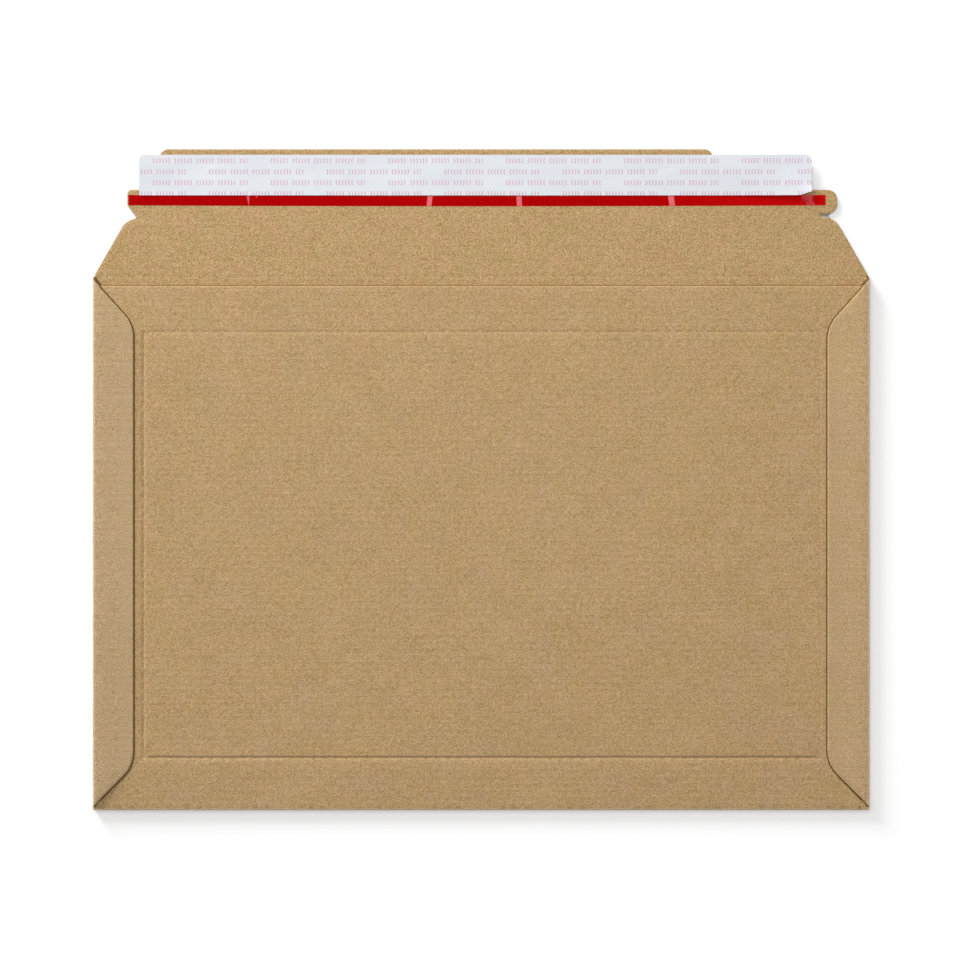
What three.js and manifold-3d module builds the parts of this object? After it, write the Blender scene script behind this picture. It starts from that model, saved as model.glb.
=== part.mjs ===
// A flat corrugated mailing envelope lying on its address side, with its closing flap open.
//
// One scored blank makes the pocket: the far panel, the near panel folded up over it at the bottom
// edge, and two narrow side flaps folded over and glued to the near panel. The closing flap runs on
// from the far panel past a crease, and carries a tear strip, a band of adhesive and its liner.
//
// Millimetres. X runs along the crease, Y towards the flap's tip and Z up from the surface it lies on.

import * as THREE from 'three';
import { mergeVertices } from 'three/addons/utils/BufferGeometryUtils.js';
import Module from 'manifold-3d';

const wasm = await Module();
wasm.setup();
const { Manifold, Mesh: SolidMesh } = wasm;

// Board
const boardThickness = 1.5; // fine-flute board, both liners included
const pocketGap = 0.6; // free height between the two panels
const scoreWidth = 1.8; // pressed line across the board's face
const scoreDepth = 0.35;

// Pocket, measured from the bottom fold's outer edge
const pocketWidth = 375;
const pocketHeight = 257.3; // up to the crease of the closing flap
const throatSetback = 3.7; // the near panel's cut edge stops this far short of the crease
const panelSideGap = 0.3; // between the near panel's side edge and the bend of the side fold

// Side flaps
const sideFlapWidth = 19.9; // from the pocket's side edge to the flap's cut edge
const sideFlapCornerRadius = 17;
const sideFlapRelief = 0.4; // the flap's end stops this far short of the crease
const sideFlapStart = 0.6; // its lower end reaches down over the bottom fold to this height
const topMitreDeg = 48; // slope of the flap's upper end from the crease
const bottomMitreDeg = 45.5;

// Glue under the side flaps
const glueThickness = 0.2;
const glueWidth = 8;
const glueEndSetback = 34; // from the bottom fold and from the near panel's cut edge

// Capacity scores on the near panel, as a rectangle with a diagonal to each bottom corner
const sideScoreSetback = 23.7; // from the pocket's side edge
const bottomScoreHeight = 25.9; // above the bottom fold
const topScoreSetback = 25.9; // below the crease

// Closing flap: heights are measured from the crease, insets from the pocket's side edges
const shoulderTipInset = 0; // the shoulders start flush with the pocket
const shoulderTopInset = 16.7; // where the sloped edges would meet the slit line
const shoulderRadius = 9;
const slitHeight = 29; // lower side of the slit under the thumb tab
const tabInset = 15.4; // outer edge of the thumb tab
const tabSlitDepth = 8.3; // from the tab's outer edge
const tabSlitGap = 1.8;
const tabHeight = 11.5; // from the slit up to the shelf where the lip starts
const tabRadius = 4.6;
const earInset = 16.1; // outer edge of the ear opposite the tab
const earNotchDepth = 4.6;
const earNotchGap = 1.2;
const earRadius = 3.2;
const shelfRadius = 2.2;
const lipHeight = 19.6; // from the shelf to the flap's tip
const lipLeftInset = 32.9;
const lipRightInset = 75.6; // the lip is cut away here, so that a finger gets under the liner
const lipRadius = 4;
const lipRootRadius = 5;

// Tear strip stuck along the flap
const tearStripLeftInset = 17.1;
const tearStripRightInset = 21.5;
const tearStripWidth = 5;
const tearStripSetback = 3.8; // above the tab's lower edge
const tearStripThickness = 0.1;
const tearStripTeeth = 3;

// Adhesive band on the lip, and the release liner that covers it
const adhesiveThickness = 0.2;
const adhesiveMargin = 2.2; // bare board left round the band
const linerLeftInset = 22.3;
const linerRightInset = 27.7;
const linerWidth = 19.6;
const linerTearStripGap = 0.3; // between the tear strip's upper edge and the liner's lower one
const linerThickness = 0.1;
const linerRadius = 2.6;
const linerTeeth = 12;
const toothDepth = 0.6; // zigzag cut of the strip's and the liner's ends

const arcSegments = 8;
const foldSegments = 10;

// Heights and lines that follow from the sizes above
const nearBottom = boardThickness + pocketGap;
const nearTop = nearBottom + boardThickness;
const sideFlapBottom = nearTop + glueThickness;
const sideFlapTop = sideFlapBottom + boardThickness;
const sideFoldRadius = sideFlapTop / 2;
const bottomFoldRadius = nearTop / 2;
const halfPocket = pocketWidth / 2;
const sideBendX = halfPocket - sideFoldRadius;
const halfPanel = sideBendX - panelSideGap;
const throatY = pocketHeight - throatSetback;
const sideFlapStartY = sideFlapStart;
const sideFlapEndY = pocketHeight - sideFlapRelief;
const sideFlapInnerX = halfPocket - sideFlapWidth;
const shelfHeight = slitHeight + tabSlitGap + tabHeight;
const flapLength = shelfHeight + lipHeight;
const tearStripHeight = slitHeight + tabSlitGap + tearStripSetback;
const linerHeight = tearStripHeight + tearStripWidth + linerTearStripGap;
const bottomY = -(pocketHeight + flapLength) / 2;
const tabEdgeX = halfPocket - tabInset;
const tabSlitEndX = tabEdgeX - tabSlitDepth;
const earEdgeX = -(halfPocket - earInset);
const earNotchEndX = earEdgeX + earNotchDepth;
const lipLeftX = -(halfPocket - lipLeftInset);
const lipRightX = halfPocket - lipRightInset;
const tearStripHalf = halfPocket - (tearStripLeftInset + tearStripRightInset) / 2;
const tearStripCentreX = (tearStripLeftInset - tearStripRightInset) / 2;
const linerLeftX = -(halfPocket - linerLeftInset);
const linerRightX = halfPocket - linerRightInset;

const UP = new THREE.Vector3(0, 0, 1);

// Shapes

/** Closed outline through [x, y, radius] corners, with an arc at each corner that has a radius. */
function roundedOutline(corners) {
  const shape = new THREE.Shape();
  const count = corners.length;
  corners.forEach(([x, y, radius = 0], index) => {
    const corner = new THREE.Vector2(x, y);
    const toLast = new THREE.Vector2(...corners[(index + count - 1) % count]).sub(corner).normalize();
    const toNext = new THREE.Vector2(...corners[(index + 1) % count]).sub(corner).normalize();
    const halfAngle = Math.acos(THREE.MathUtils.clamp(toLast.dot(toNext), -1, 1)) / 2;
    const tangent = radius / Math.tan(halfAngle);
    const start = corner.clone().addScaledVector(toLast, tangent);
    if (index === 0) shape.moveTo(start.x, start.y);
    else shape.lineTo(start.x, start.y);
    if (radius === 0) return;
    const middle = toLast.clone().add(toNext).normalize();
    const centre = corner.clone().addScaledVector(middle, radius / Math.sin(halfAngle));
    const end = corner.clone().addScaledVector(toNext, tangent);
    const clockwise = toLast.cross(toNext) > 0;
    const startAngle = start.clone().sub(centre).angle();
    const endAngle = end.clone().sub(centre).angle();
    shape.absarc(centre.x, centre.y, radius, startAngle, endAngle, clockwise);
  });
  return shape;
}

/** Section of a board folded back over itself: a round bend at u = 0, and two legs if they have length. */
function foldedSection(lowerLength, upperLength, outerRadius) {
  const innerRadius = outerRadius - boardThickness;
  const shape = new THREE.Shape();
  if (lowerLength > 0) {
    shape.moveTo(lowerLength, -outerRadius);
    shape.lineTo(0, -outerRadius);
  }
  shape.absarc(0, 0, outerRadius, -Math.PI / 2, Math.PI / 2, true);
  if (upperLength > 0) {
    shape.lineTo(upperLength, outerRadius);
    shape.lineTo(upperLength, innerRadius);
    shape.lineTo(0, innerRadius);
  }
  shape.absarc(0, 0, innerRadius, Math.PI / 2, -Math.PI / 2, false);
  if (lowerLength > 0) shape.lineTo(lowerLength, -innerRadius);
  return shape;
}

/** Points of a zigzag edge at x from y = low to y = high, with teeth that point along outward. */
function zigzagEdge(x, low, high, teeth, outward) {
  const pitch = (high - low) / teeth;
  return Array.from({ length: teeth * 2 + 1 }, (_, index) => {
    const reach = index % 2 === 1 ? 0 : -toothDepth;
    return [x + outward * reach, low + (index * pitch) / 2];
  });
}

// Solids

function extrude(shape, depth, curveSegments = arcSegments) {
  return new THREE.ExtrudeGeometry(shape, { depth, bevelEnabled: false, curveSegments });
}

/** Extrudes a section along a direction, with the section's second axis up. */
function sweep(shape, start, direction, length, curveSegments = foldSegments) {
  const along = direction.clone().normalize();
  const across = UP.clone().cross(along);
  const frame = new THREE.Matrix4().makeBasis(across, UP, along).setPosition(start);
  return extrude(shape, length, curveSegments).applyMatrix4(frame);
}

function toSolid(geometry) {
  const bare = new THREE.BufferGeometry();
  bare.setAttribute('position', geometry.getAttribute('position'));
  if (geometry.index) bare.setIndex(geometry.index);
  const welded = mergeVertices(bare, 1e-4);
  return new Manifold(
    new SolidMesh({
      numProp: 3,
      vertProperties: Float32Array.from(welded.getAttribute('position').array),
      triVerts: Uint32Array.from(welded.index.array),
    }),
  );
}

function toGeometry(solid) {
  const { numProp, vertProperties, triVerts } = solid.getMesh();
  const indexed = new THREE.BufferGeometry();
  indexed.setAttribute('position', new THREE.BufferAttribute(vertProperties, numProp));
  indexed.setIndex(new THREE.BufferAttribute(triVerts, 1));
  const geometry = indexed.toNonIndexed();
  geometry.computeVertexNormals();
  return geometry;
}

function block(low, high) {
  const size = high.clone().sub(low);
  const centre = low.clone().add(high).multiplyScalar(0.5);
  return new THREE.BoxGeometry(size.x, size.y, size.z).translate(centre.x, centre.y, centre.z);
}

/** Wedge that presses a score into a face at height z, from one point to the other. */
function scoreTool(from, to, z) {
  const lift = scoreDepth;
  const halfTop = (scoreWidth / 2) * (1 + lift / scoreDepth);
  const wedge = new THREE.Shape([
    new THREE.Vector2(0, -scoreDepth),
    new THREE.Vector2(halfTop, lift),
    new THREE.Vector2(-halfTop, lift),
  ]);
  const start = new THREE.Vector3(from.x, from.y, z);
  const path = new THREE.Vector3(to.x, to.y, z).sub(start);
  return toSolid(sweep(wedge, start, path, path.length()));
}

function creaseTool(y) {
  const reach = halfPocket + scoreWidth;
  return scoreTool(new THREE.Vector2(-reach, y), new THREE.Vector2(reach, y), boardThickness);
}

// Pocket

/** A section folded at the pocket's bottom, from -halfWidth to halfWidth along X. */
function bottomFolded(section, halfWidth) {
  const start = new THREE.Vector3(-halfWidth, bottomFoldRadius, bottomFoldRadius);
  const alongX = new THREE.Matrix4()
    .makeBasis(new THREE.Vector3(0, 1, 0), UP, new THREE.Vector3(1, 0, 0))
    .setPosition(start);
  return toSolid(extrude(section, 2 * halfWidth, foldSegments).applyMatrix4(alongX));
}

/** Far and near panel joined by the bottom fold, which alone runs on to the pocket's side edges. */
function foldedPanels() {
  const panels = foldedSection(
    pocketHeight - bottomFoldRadius, throatY - bottomFoldRadius, bottomFoldRadius,
  );
  const fold = foldedSection(0, 0, bottomFoldRadius);
  return bottomFolded(panels, halfPanel).add(bottomFolded(fold, halfPocket));
}

/** Plan of the left side flap: its two sloped ends meet the cut edge in round corners. */
function sideFlapPlan() {
  const edgeX = -halfPocket;
  const outsideX = edgeX - boardThickness;
  const innerX = -sideFlapInnerX;
  const topDrop = sideFlapWidth * Math.tan(THREE.MathUtils.degToRad(topMitreDeg));
  const bottomRise = sideFlapWidth * Math.tan(THREE.MathUtils.degToRad(bottomMitreDeg));
  return roundedOutline([
    [outsideX, sideFlapStartY - boardThickness],
    [edgeX, sideFlapStartY - boardThickness],
    [edgeX, sideFlapStartY],
    [innerX, sideFlapStartY + bottomRise, sideFlapCornerRadius],
    [innerX, sideFlapEndY - topDrop, sideFlapCornerRadius],
    [edgeX, sideFlapEndY],
    [edgeX, sideFlapEndY + boardThickness],
    [outsideX, sideFlapEndY + boardThickness],
  ]);
}

/** Left side fold with its flap: a bent section along Y, whose upper half is cut to the plan. */
function leftSideFold() {
  const foldLength = sideFlapEndY - sideFlapStartY;
  const legLength = sideFlapWidth - sideFoldRadius;
  const panelLap = sideFlapWidth / 2;
  const alongY = new THREE.Matrix4()
    .makeBasis(new THREE.Vector3(1, 0, 0), UP, new THREE.Vector3(0, -1, 0))
    .setPosition(-sideBendX, sideFlapEndY, sideFoldRadius);
  const bent = toSolid(
    extrude(foldedSection(panelLap, legLength, sideFoldRadius), foldLength, foldSegments)
      .applyMatrix4(alongY),
  );
  const kept = toSolid(extrude(sideFlapPlan(), 2 * sideFlapTop));
  const upperHalf = toSolid(block(
    new THREE.Vector3(-pocketWidth, -pocketHeight, sideFoldRadius),
    new THREE.Vector3(0, 2 * pocketHeight, sideFoldRadius + sideFlapTop),
  ));
  return bent.subtract(upperHalf.subtract(kept));
}

/** Capacity scores pressed into the near panel's outer face. */
function capacityScores() {
  const scoreX = halfPocket - sideScoreSetback;
  const topY = pocketHeight - topScoreSetback;
  const corners = {
    topLeft: new THREE.Vector2(-scoreX, topY),
    topRight: new THREE.Vector2(scoreX, topY),
    bottomLeft: new THREE.Vector2(-scoreX, bottomScoreHeight),
    bottomRight: new THREE.Vector2(scoreX, bottomScoreHeight),
  };
  const lines = [
    [corners.topLeft, corners.topRight],
    [corners.bottomLeft, corners.bottomRight],
    [corners.topLeft, corners.bottomLeft],
    [corners.topRight, corners.bottomRight],
    [corners.bottomLeft, new THREE.Vector2(-halfPanel, bottomFoldRadius)],
    [corners.bottomRight, new THREE.Vector2(halfPanel, bottomFoldRadius)],
  ];
  return lines.map(([from, to]) => scoreTool(from, to, nearTop));
}

function pocketGeometry() {
  const left = leftSideFold();
  const right = left.mirror([1, 0, 0]);
  const cuts = [...capacityScores(), creaseTool(pocketHeight)];
  const panels = foldedPanels().subtract(Manifold.union(cuts));
  return toGeometry(Manifold.union([panels, left, right]));
}

/** Bead of glue between a side flap and the near panel, centred on the flap's seated width. */
function glueGeometry() {
  const halfWidth = glueWidth / 2;
  const low = glueEndSetback;
  const high = throatY - glueEndSetback;
  const bead = new THREE.Shape();
  bead.absarc(0, high, halfWidth, 0, Math.PI, false);
  bead.absarc(0, low, halfWidth, Math.PI, 2 * Math.PI, false);
  return extrude(bead, glueThickness);
}

// Closing flap, in a frame whose Y is 0 on the crease

/** Where a shoulder's sloped edge meets a line at the given height. */
function shoulderX(height) {
  return halfPocket - THREE.MathUtils.lerp(shoulderTipInset, shoulderTopInset, height / slitHeight);
}

function flapOutline() {
  const earSlitLow = slitHeight - earNotchGap / 2;
  const earSlitHigh = slitHeight + earNotchGap / 2;
  const tabSlitHigh = slitHeight + tabSlitGap;
  return roundedOutline([
    [-shoulderX(0), 0],
    [shoulderX(0), 0],
    [shoulderX(slitHeight), slitHeight, shoulderRadius],
    [tabSlitEndX, slitHeight],
    [tabSlitEndX, tabSlitHigh],
    [tabEdgeX, tabSlitHigh, tabRadius],
    [tabEdgeX, shelfHeight, tabRadius],
    [lipRightX, shelfHeight, lipRootRadius],
    [lipRightX, flapLength, lipRadius],
    [lipLeftX, flapLength, lipRadius],
    [lipLeftX, shelfHeight, lipRootRadius],
    [earEdgeX, shelfHeight, shelfRadius],
    [earEdgeX, earSlitHigh, earRadius],
    [earNotchEndX, earSlitHigh, earNotchGap / 2],
    [earNotchEndX, earSlitLow, earNotchGap / 2],
    [-shoulderX(earSlitLow), earSlitLow, shoulderRadius],
  ]);
}

function flapGeometry() {
  const board = toSolid(extrude(flapOutline(), boardThickness));
  return toGeometry(board.subtract(creaseTool(0)));
}

function tearStripGeometry() {
  const low = -tearStripWidth / 2;
  const high = tearStripWidth / 2;
  return extrude(roundedOutline([
    ...zigzagEdge(tearStripHalf, low, high, tearStripTeeth, 1),
    ...zigzagEdge(-tearStripHalf, low, high, tearStripTeeth, -1).reverse(),
  ]), tearStripThickness);
}

function adhesiveGeometry() {
  const low = shelfHeight + adhesiveMargin;
  const high = linerHeight + linerWidth - adhesiveMargin;
  const inset = lipRootRadius;
  return extrude(roundedOutline([
    [lipLeftX + inset, low],
    [lipRightX - inset, low],
    [lipRightX - inset, high],
    [lipLeftX + inset, high],
  ]), adhesiveThickness);
}

function linerGeometry() {
  return extrude(roundedOutline([
    [linerLeftX, 0],
    ...zigzagEdge(linerRightX, 0, linerWidth - linerRadius, linerTeeth, 1),
    [linerRightX - toothDepth, linerWidth, linerRadius],
    [linerLeftX, linerWidth, linerRadius],
  ]), linerThickness);
}

// Finishes

const kraftOutside = { color: 0xb79870, roughness: 0.88, metalness: 0 };
const kraftInside = { color: 0xba9a6c, roughness: 0.9, metalness: 0 };
const redFilm = { color: 0xae0203, roughness: 0.32, metalness: 0 };
const linerPaper = { color: 0xe4e2e8, roughness: 0.5, metalness: 0 };
const glueResin = { color: 0xd8cfa8, roughness: 0.35, metalness: 0 };
const adhesiveFilm = { color: 0xd9d5c4, roughness: 0.25, metalness: 0 };

function piece(name, geometry, finish) {
  const mesh = new THREE.Mesh(geometry, new THREE.MeshStandardMaterial(finish));
  mesh.name = name;
  return mesh;
}

// Assembly

function buildPocket() {
  const pocket = new THREE.Group();
  pocket.position.y = bottomY;
  pocket.add(piece('mailer_pocket', pocketGeometry(), kraftOutside));
  const glueX = (sideBendX + sideFlapInnerX) / 2;
  for (const [name, x] of [['side_glue_left', -glueX], ['side_glue_right', glueX]]) {
    const glue = piece(name, glueGeometry(), glueResin);
    glue.position.set(x, 0, nearTop);
    pocket.add(glue);
  }
  return pocket;
}

function buildFlap() {
  const flap = new THREE.Group();
  flap.position.y = bottomY + pocketHeight;
  flap.add(piece('closure_flap', flapGeometry(), kraftInside));

  const tearStrip = piece('tear_strip', tearStripGeometry(), redFilm);
  tearStrip.position.set(tearStripCentreX, tearStripHeight + tearStripWidth / 2, boardThickness);

  const adhesive = piece('adhesive_strip', adhesiveGeometry(), adhesiveFilm);
  adhesive.position.z = boardThickness;

  const liner = piece('release_liner', linerGeometry(), linerPaper);
  liner.position.set(0, linerHeight, boardThickness + adhesiveThickness);

  flap.add(tearStrip, adhesive, liner);
  return flap;
}

const mailer = new THREE.Group();
mailer.name = 'book_wrap_mailer';
mailer.add(buildPocket(), buildFlap());

export default mailer;
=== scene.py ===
"""A corrugated mailing envelope lying open on a white table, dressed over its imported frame.

The board is one sheet. Its flat blank is drawn in two blank coordinates, s across the envelope and
w along it, meshed there, and folded into place by formula, so that the folds, the pressed scores
and the cut edges belong to one closed surface. The tear strip and the release liner are plates
made the same way. Lengths in this file are millimetres until a mesh is written, which is in metres.
"""

from __future__ import annotations

import logging
import math
from collections.abc import Callable, Sequence
from dataclasses import dataclass
from enum import Enum

import bpy
import numpy as np
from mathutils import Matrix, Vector
from mathutils.geometry import delaunay_2d_cdt

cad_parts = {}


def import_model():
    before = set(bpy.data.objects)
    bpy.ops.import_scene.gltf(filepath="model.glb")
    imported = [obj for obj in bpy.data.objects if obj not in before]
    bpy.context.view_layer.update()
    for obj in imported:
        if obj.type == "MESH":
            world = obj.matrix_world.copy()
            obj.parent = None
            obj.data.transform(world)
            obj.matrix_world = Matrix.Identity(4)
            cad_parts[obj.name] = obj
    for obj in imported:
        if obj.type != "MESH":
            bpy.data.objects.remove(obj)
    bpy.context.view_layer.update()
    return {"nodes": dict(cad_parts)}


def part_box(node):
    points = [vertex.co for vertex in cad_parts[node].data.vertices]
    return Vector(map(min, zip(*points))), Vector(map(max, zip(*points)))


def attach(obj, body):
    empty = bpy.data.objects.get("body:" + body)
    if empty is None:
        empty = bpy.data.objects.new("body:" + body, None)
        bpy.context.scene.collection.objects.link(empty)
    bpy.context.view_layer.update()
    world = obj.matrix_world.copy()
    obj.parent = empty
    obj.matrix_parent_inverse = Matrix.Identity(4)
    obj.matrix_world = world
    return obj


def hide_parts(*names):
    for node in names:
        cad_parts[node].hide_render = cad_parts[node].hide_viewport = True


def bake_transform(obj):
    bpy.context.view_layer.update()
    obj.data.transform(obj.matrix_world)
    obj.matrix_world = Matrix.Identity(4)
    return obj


LOG = logging.getLogger("mailer")
MM = 0.001
TAU = 2.0 * math.pi

Array = np.ndarray
Surface = Callable[[Array, Array, Array], Array]
Placement = Callable[[Array, Array, Array], Array]


def linear(red: int, green: int, blue: int) -> tuple[float, float, float, float]:
    """Turn an 8-bit display colour into a linear colour with full alpha.

    Args:
        red: Red, 0 to 255.
        green: Green, 0 to 255.
        blue: Blue, 0 to 255.

    Returns:
        The colour as Blender's sockets take it.
    """
    parts = [value / 255.0 for value in (red, green, blue)]
    light = [v / 12.92 if v <= 0.04045 else ((v + 0.055) / 1.055) ** 2.4 for v in parts]
    return (light[0], light[1], light[2], 1.0)


def smoothstep(value: Array) -> Array:
    """Ease a value from 0 to 1: 3 v^2 - 2 v^3, held at both ends."""
    held = np.clip(value, 0.0, 1.0)
    return held * held * (3.0 - 2.0 * held)


def squared_turn(turn: Array, power: float) -> tuple[Array, Array]:
    """Reach sin(turn)^power and signed rise |cos(turn)|^power of a squared-off half turn."""
    reach = np.abs(np.sin(turn)) ** power
    return reach, np.sign(np.cos(turn)) * np.abs(np.cos(turn)) ** power


# Frame sizes


@dataclass(frozen=True)
class FrameSizes:
    """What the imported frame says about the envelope, in millimetres.

    Attributes:
        half_width: Half the pocket's width.
        bottom_y: Outer edge of the bottom fold.
        crease_y: Crease of the closing flap.
        tip_y: Tip of the closing flap.
        top_z: Outer face of the glued side flaps.
        board: Thickness of the board.
        strip_low: Low corner of the tear strip.
        strip_high: High corner of the tear strip.
        liner_low: Low corner of the release liner.
        liner_high: High corner of the release liner.
    """

    half_width: float
    bottom_y: float
    crease_y: float
    tip_y: float
    top_z: float
    board: float
    strip_low: Array
    strip_high: Array
    liner_low: Array
    liner_high: Array

    @classmethod
    def measured(cls) -> FrameSizes:
        """Read the sizes from the frame's own boxes.

        Returns:
            The sizes, in millimetres.
        """
        pocket_low, pocket_high = (np.array(corner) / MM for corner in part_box("mailer_pocket"))
        flap_low, flap_high = (np.array(corner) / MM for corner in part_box("closure_flap"))
        strip_low, strip_high = (np.array(corner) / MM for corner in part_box("tear_strip"))
        liner_low, liner_high = (np.array(corner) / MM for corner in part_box("release_liner"))
        return cls(
            half_width=float(pocket_high[0]),
            bottom_y=float(pocket_low[1]),
            crease_y=float(flap_low[1]),
            tip_y=float(flap_high[1]),
            top_z=float(pocket_high[2]),
            board=float(flap_high[2] - flap_low[2]),
            strip_low=strip_low,
            strip_high=strip_high,
            liner_low=liner_low,
            liner_high=liner_high,
        )


# Outlines


def rounded(corners: Sequence[tuple[float, ...]], arc_step_deg: float = 9.0) -> Array:
    """Run through (x, y[, radius]) corners, replacing a corner that has a radius by its arc.

    The arc's centre lies on the corner's bisector, at radius / sin(half the corner's angle), and
    it touches both sides at radius / tan(half the angle) from the corner.

    Args:
        corners: The closed outline's corners in order.
        arc_step_deg: Largest turn between two points of an arc.

    Returns:
        The outline's points, one row each.
    """
    plan = [np.array(corner[:2], float) for corner in corners]
    runs = []
    for index, corner in enumerate(corners):
        here, radius = plan[index], corner[2] if len(corner) > 2 else 0.0
        if radius == 0.0:
            runs.append(here[None])
            continue
        back = plan[index - 1] - here
        ahead = plan[(index + 1) % len(plan)] - here
        back, ahead = back / np.linalg.norm(back), ahead / np.linalg.norm(ahead)
        half = math.acos(float(np.clip(back @ ahead, -1.0, 1.0))) / 2.0
        middle = (back + ahead) / np.linalg.norm(back + ahead)
        centre = here + middle * radius / math.sin(half)
        start = here + back * radius / math.tan(half) - centre
        turn = (math.pi - 2.0 * half) * (1.0 if back[0] * ahead[1] < back[1] * ahead[0] else -1.0)
        steps = max(2, math.ceil(abs(math.degrees(turn)) / arc_step_deg))
        angle = math.atan2(start[1], start[0]) + turn * np.linspace(0.0, 1.0, steps + 1)
        runs.append(centre + radius * np.column_stack([np.cos(angle), np.sin(angle)]))
    return np.vstack(runs)


def resampled(points: Array, spacing: float, closed: bool = True) -> Array:
    """Split a run's long edges, keeping its own points.

    Args:
        points: The run's points.
        spacing: Longest edge that is left.
        closed: Whether the last point joins the first.

    Returns:
        The run with the added points.
    """
    ahead = np.roll(points, -1, axis=0)
    if not closed:
        points, ahead, last = points[:-1], ahead[:-1], points[-1:]
    counts = np.maximum(1, np.ceil(np.linalg.norm(ahead - points, axis=1) / spacing)).astype(int)
    owner = np.repeat(np.arange(len(points)), counts)
    step = np.arange(counts.sum()) - np.repeat(np.cumsum(counts) - counts, counts)
    share = (step / counts[owner])[:, None]
    split = points[owner] * (1.0 - share) + ahead[owner] * share
    return split if closed else np.vstack([split, last])


def zigzag(x: float, low: float, high: float, teeth: int, depth: float, outward: float) -> Array:
    """Cut a straight end at x into equal teeth that point outward.

    Args:
        x: Tips of the teeth.
        low: Lower end of the cut.
        high: Upper end of the cut.
        teeth: How many teeth.
        depth: From a tip to a root.
        outward: 1 where the teeth point along +X, -1 along -X.

    Returns:
        Points from low to high.
    """
    rise = np.linspace(low, high, 2 * teeth + 1)
    reach = np.where(np.arange(2 * teeth + 1) % 2 == 1, 0.0, depth)
    return np.column_stack([x - outward * reach, rise])


def lattice(low: Sequence[float], high: Sequence[float], spacing: Sequence[float]) -> Array:
    """Lay a regular lattice of points over a rectangle.

    Args:
        low: Low corner.
        high: High corner.
        spacing: Largest step along each side.

    Returns:
        The points, one row each.
    """
    counts = [max(1, math.ceil((h - lo) / gap)) for lo, h, gap in zip(low, high, spacing)]
    first, second = (np.linspace(lo, h, n + 1) for lo, h, n in zip(low, high, counts))
    return np.column_stack([axis.ravel() for axis in np.meshgrid(first, second)])


def nearest(
    points: Array, targets: Array, reach: float = 2.0, band: int = 800
) -> tuple[Array, Array]:
    """Find each point's nearest target, no farther than the reach.

    The points are taken in order of height, a band at a time, against the targets of that band.

    Args:
        points: The points.
        targets: The targets.
        reach: Greatest distance that is told apart.
        band: How many points a band has.

    Returns:
        The distance of each point, held at the reach, and the number of its nearest target.
    """
    order = np.argsort(points[:, 1])
    found, which = np.full(len(points), reach), np.zeros(len(points), int)
    for start in range(0, len(points), band):
        rows = order[start : start + band]
        low, high = points[rows[0], 1] - reach, points[rows[-1], 1] + reach
        near = np.flatnonzero((targets[:, 1] > low) & (targets[:, 1] < high))
        if len(near):
            gap = ((points[rows][:, None] - targets[near][None]) ** 2).sum(2)
            best = gap.argmin(1)
            which[rows] = near[best]
            found[rows] = np.minimum(np.sqrt(gap[np.arange(len(rows)), best]), reach)
    return found, which


def enclosed(points: Array, outline: Array, band: int = 3000) -> Array:
    """Tell which points lie inside a closed outline, by how often a ray to +X crosses it.

    Args:
        points: The points.
        outline: The outline's points in order.
        band: How many points are tested at once.

    Returns:
        True for each point inside.
    """
    low, high = outline, np.roll(outline, -1, axis=0)
    rise = high[:, 1] - low[:, 1]
    lean = (high[:, 0] - low[:, 0]) / np.where(rise == 0.0, 1.0, rise)
    found = []
    for start in range(0, len(points), band):
        x, y = points[start : start + band, :1], points[start : start + band, 1:]
        spans = (low[:, 1] > y) != (high[:, 1] > y)
        crossed = x < low[:, 0] + (y - low[:, 1]) * lean
        found.append((spans & crossed).sum(1) % 2 == 1)
    return np.concatenate(found)


def inward(outline: Array) -> Array:
    """Unit vectors at an anticlockwise outline's points, square to it and pointing inside.

    Args:
        outline: The outline's points in order.

    Returns:
        The vectors, one row each.
    """
    ahead = np.roll(outline, -1, axis=0) - np.roll(outline, 1, axis=0)
    ahead = ahead / np.maximum(np.linalg.norm(ahead, axis=1), 1e-9)[:, None]
    return np.column_stack([-ahead[:, 1], ahead[:, 0]])


# Plates


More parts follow.
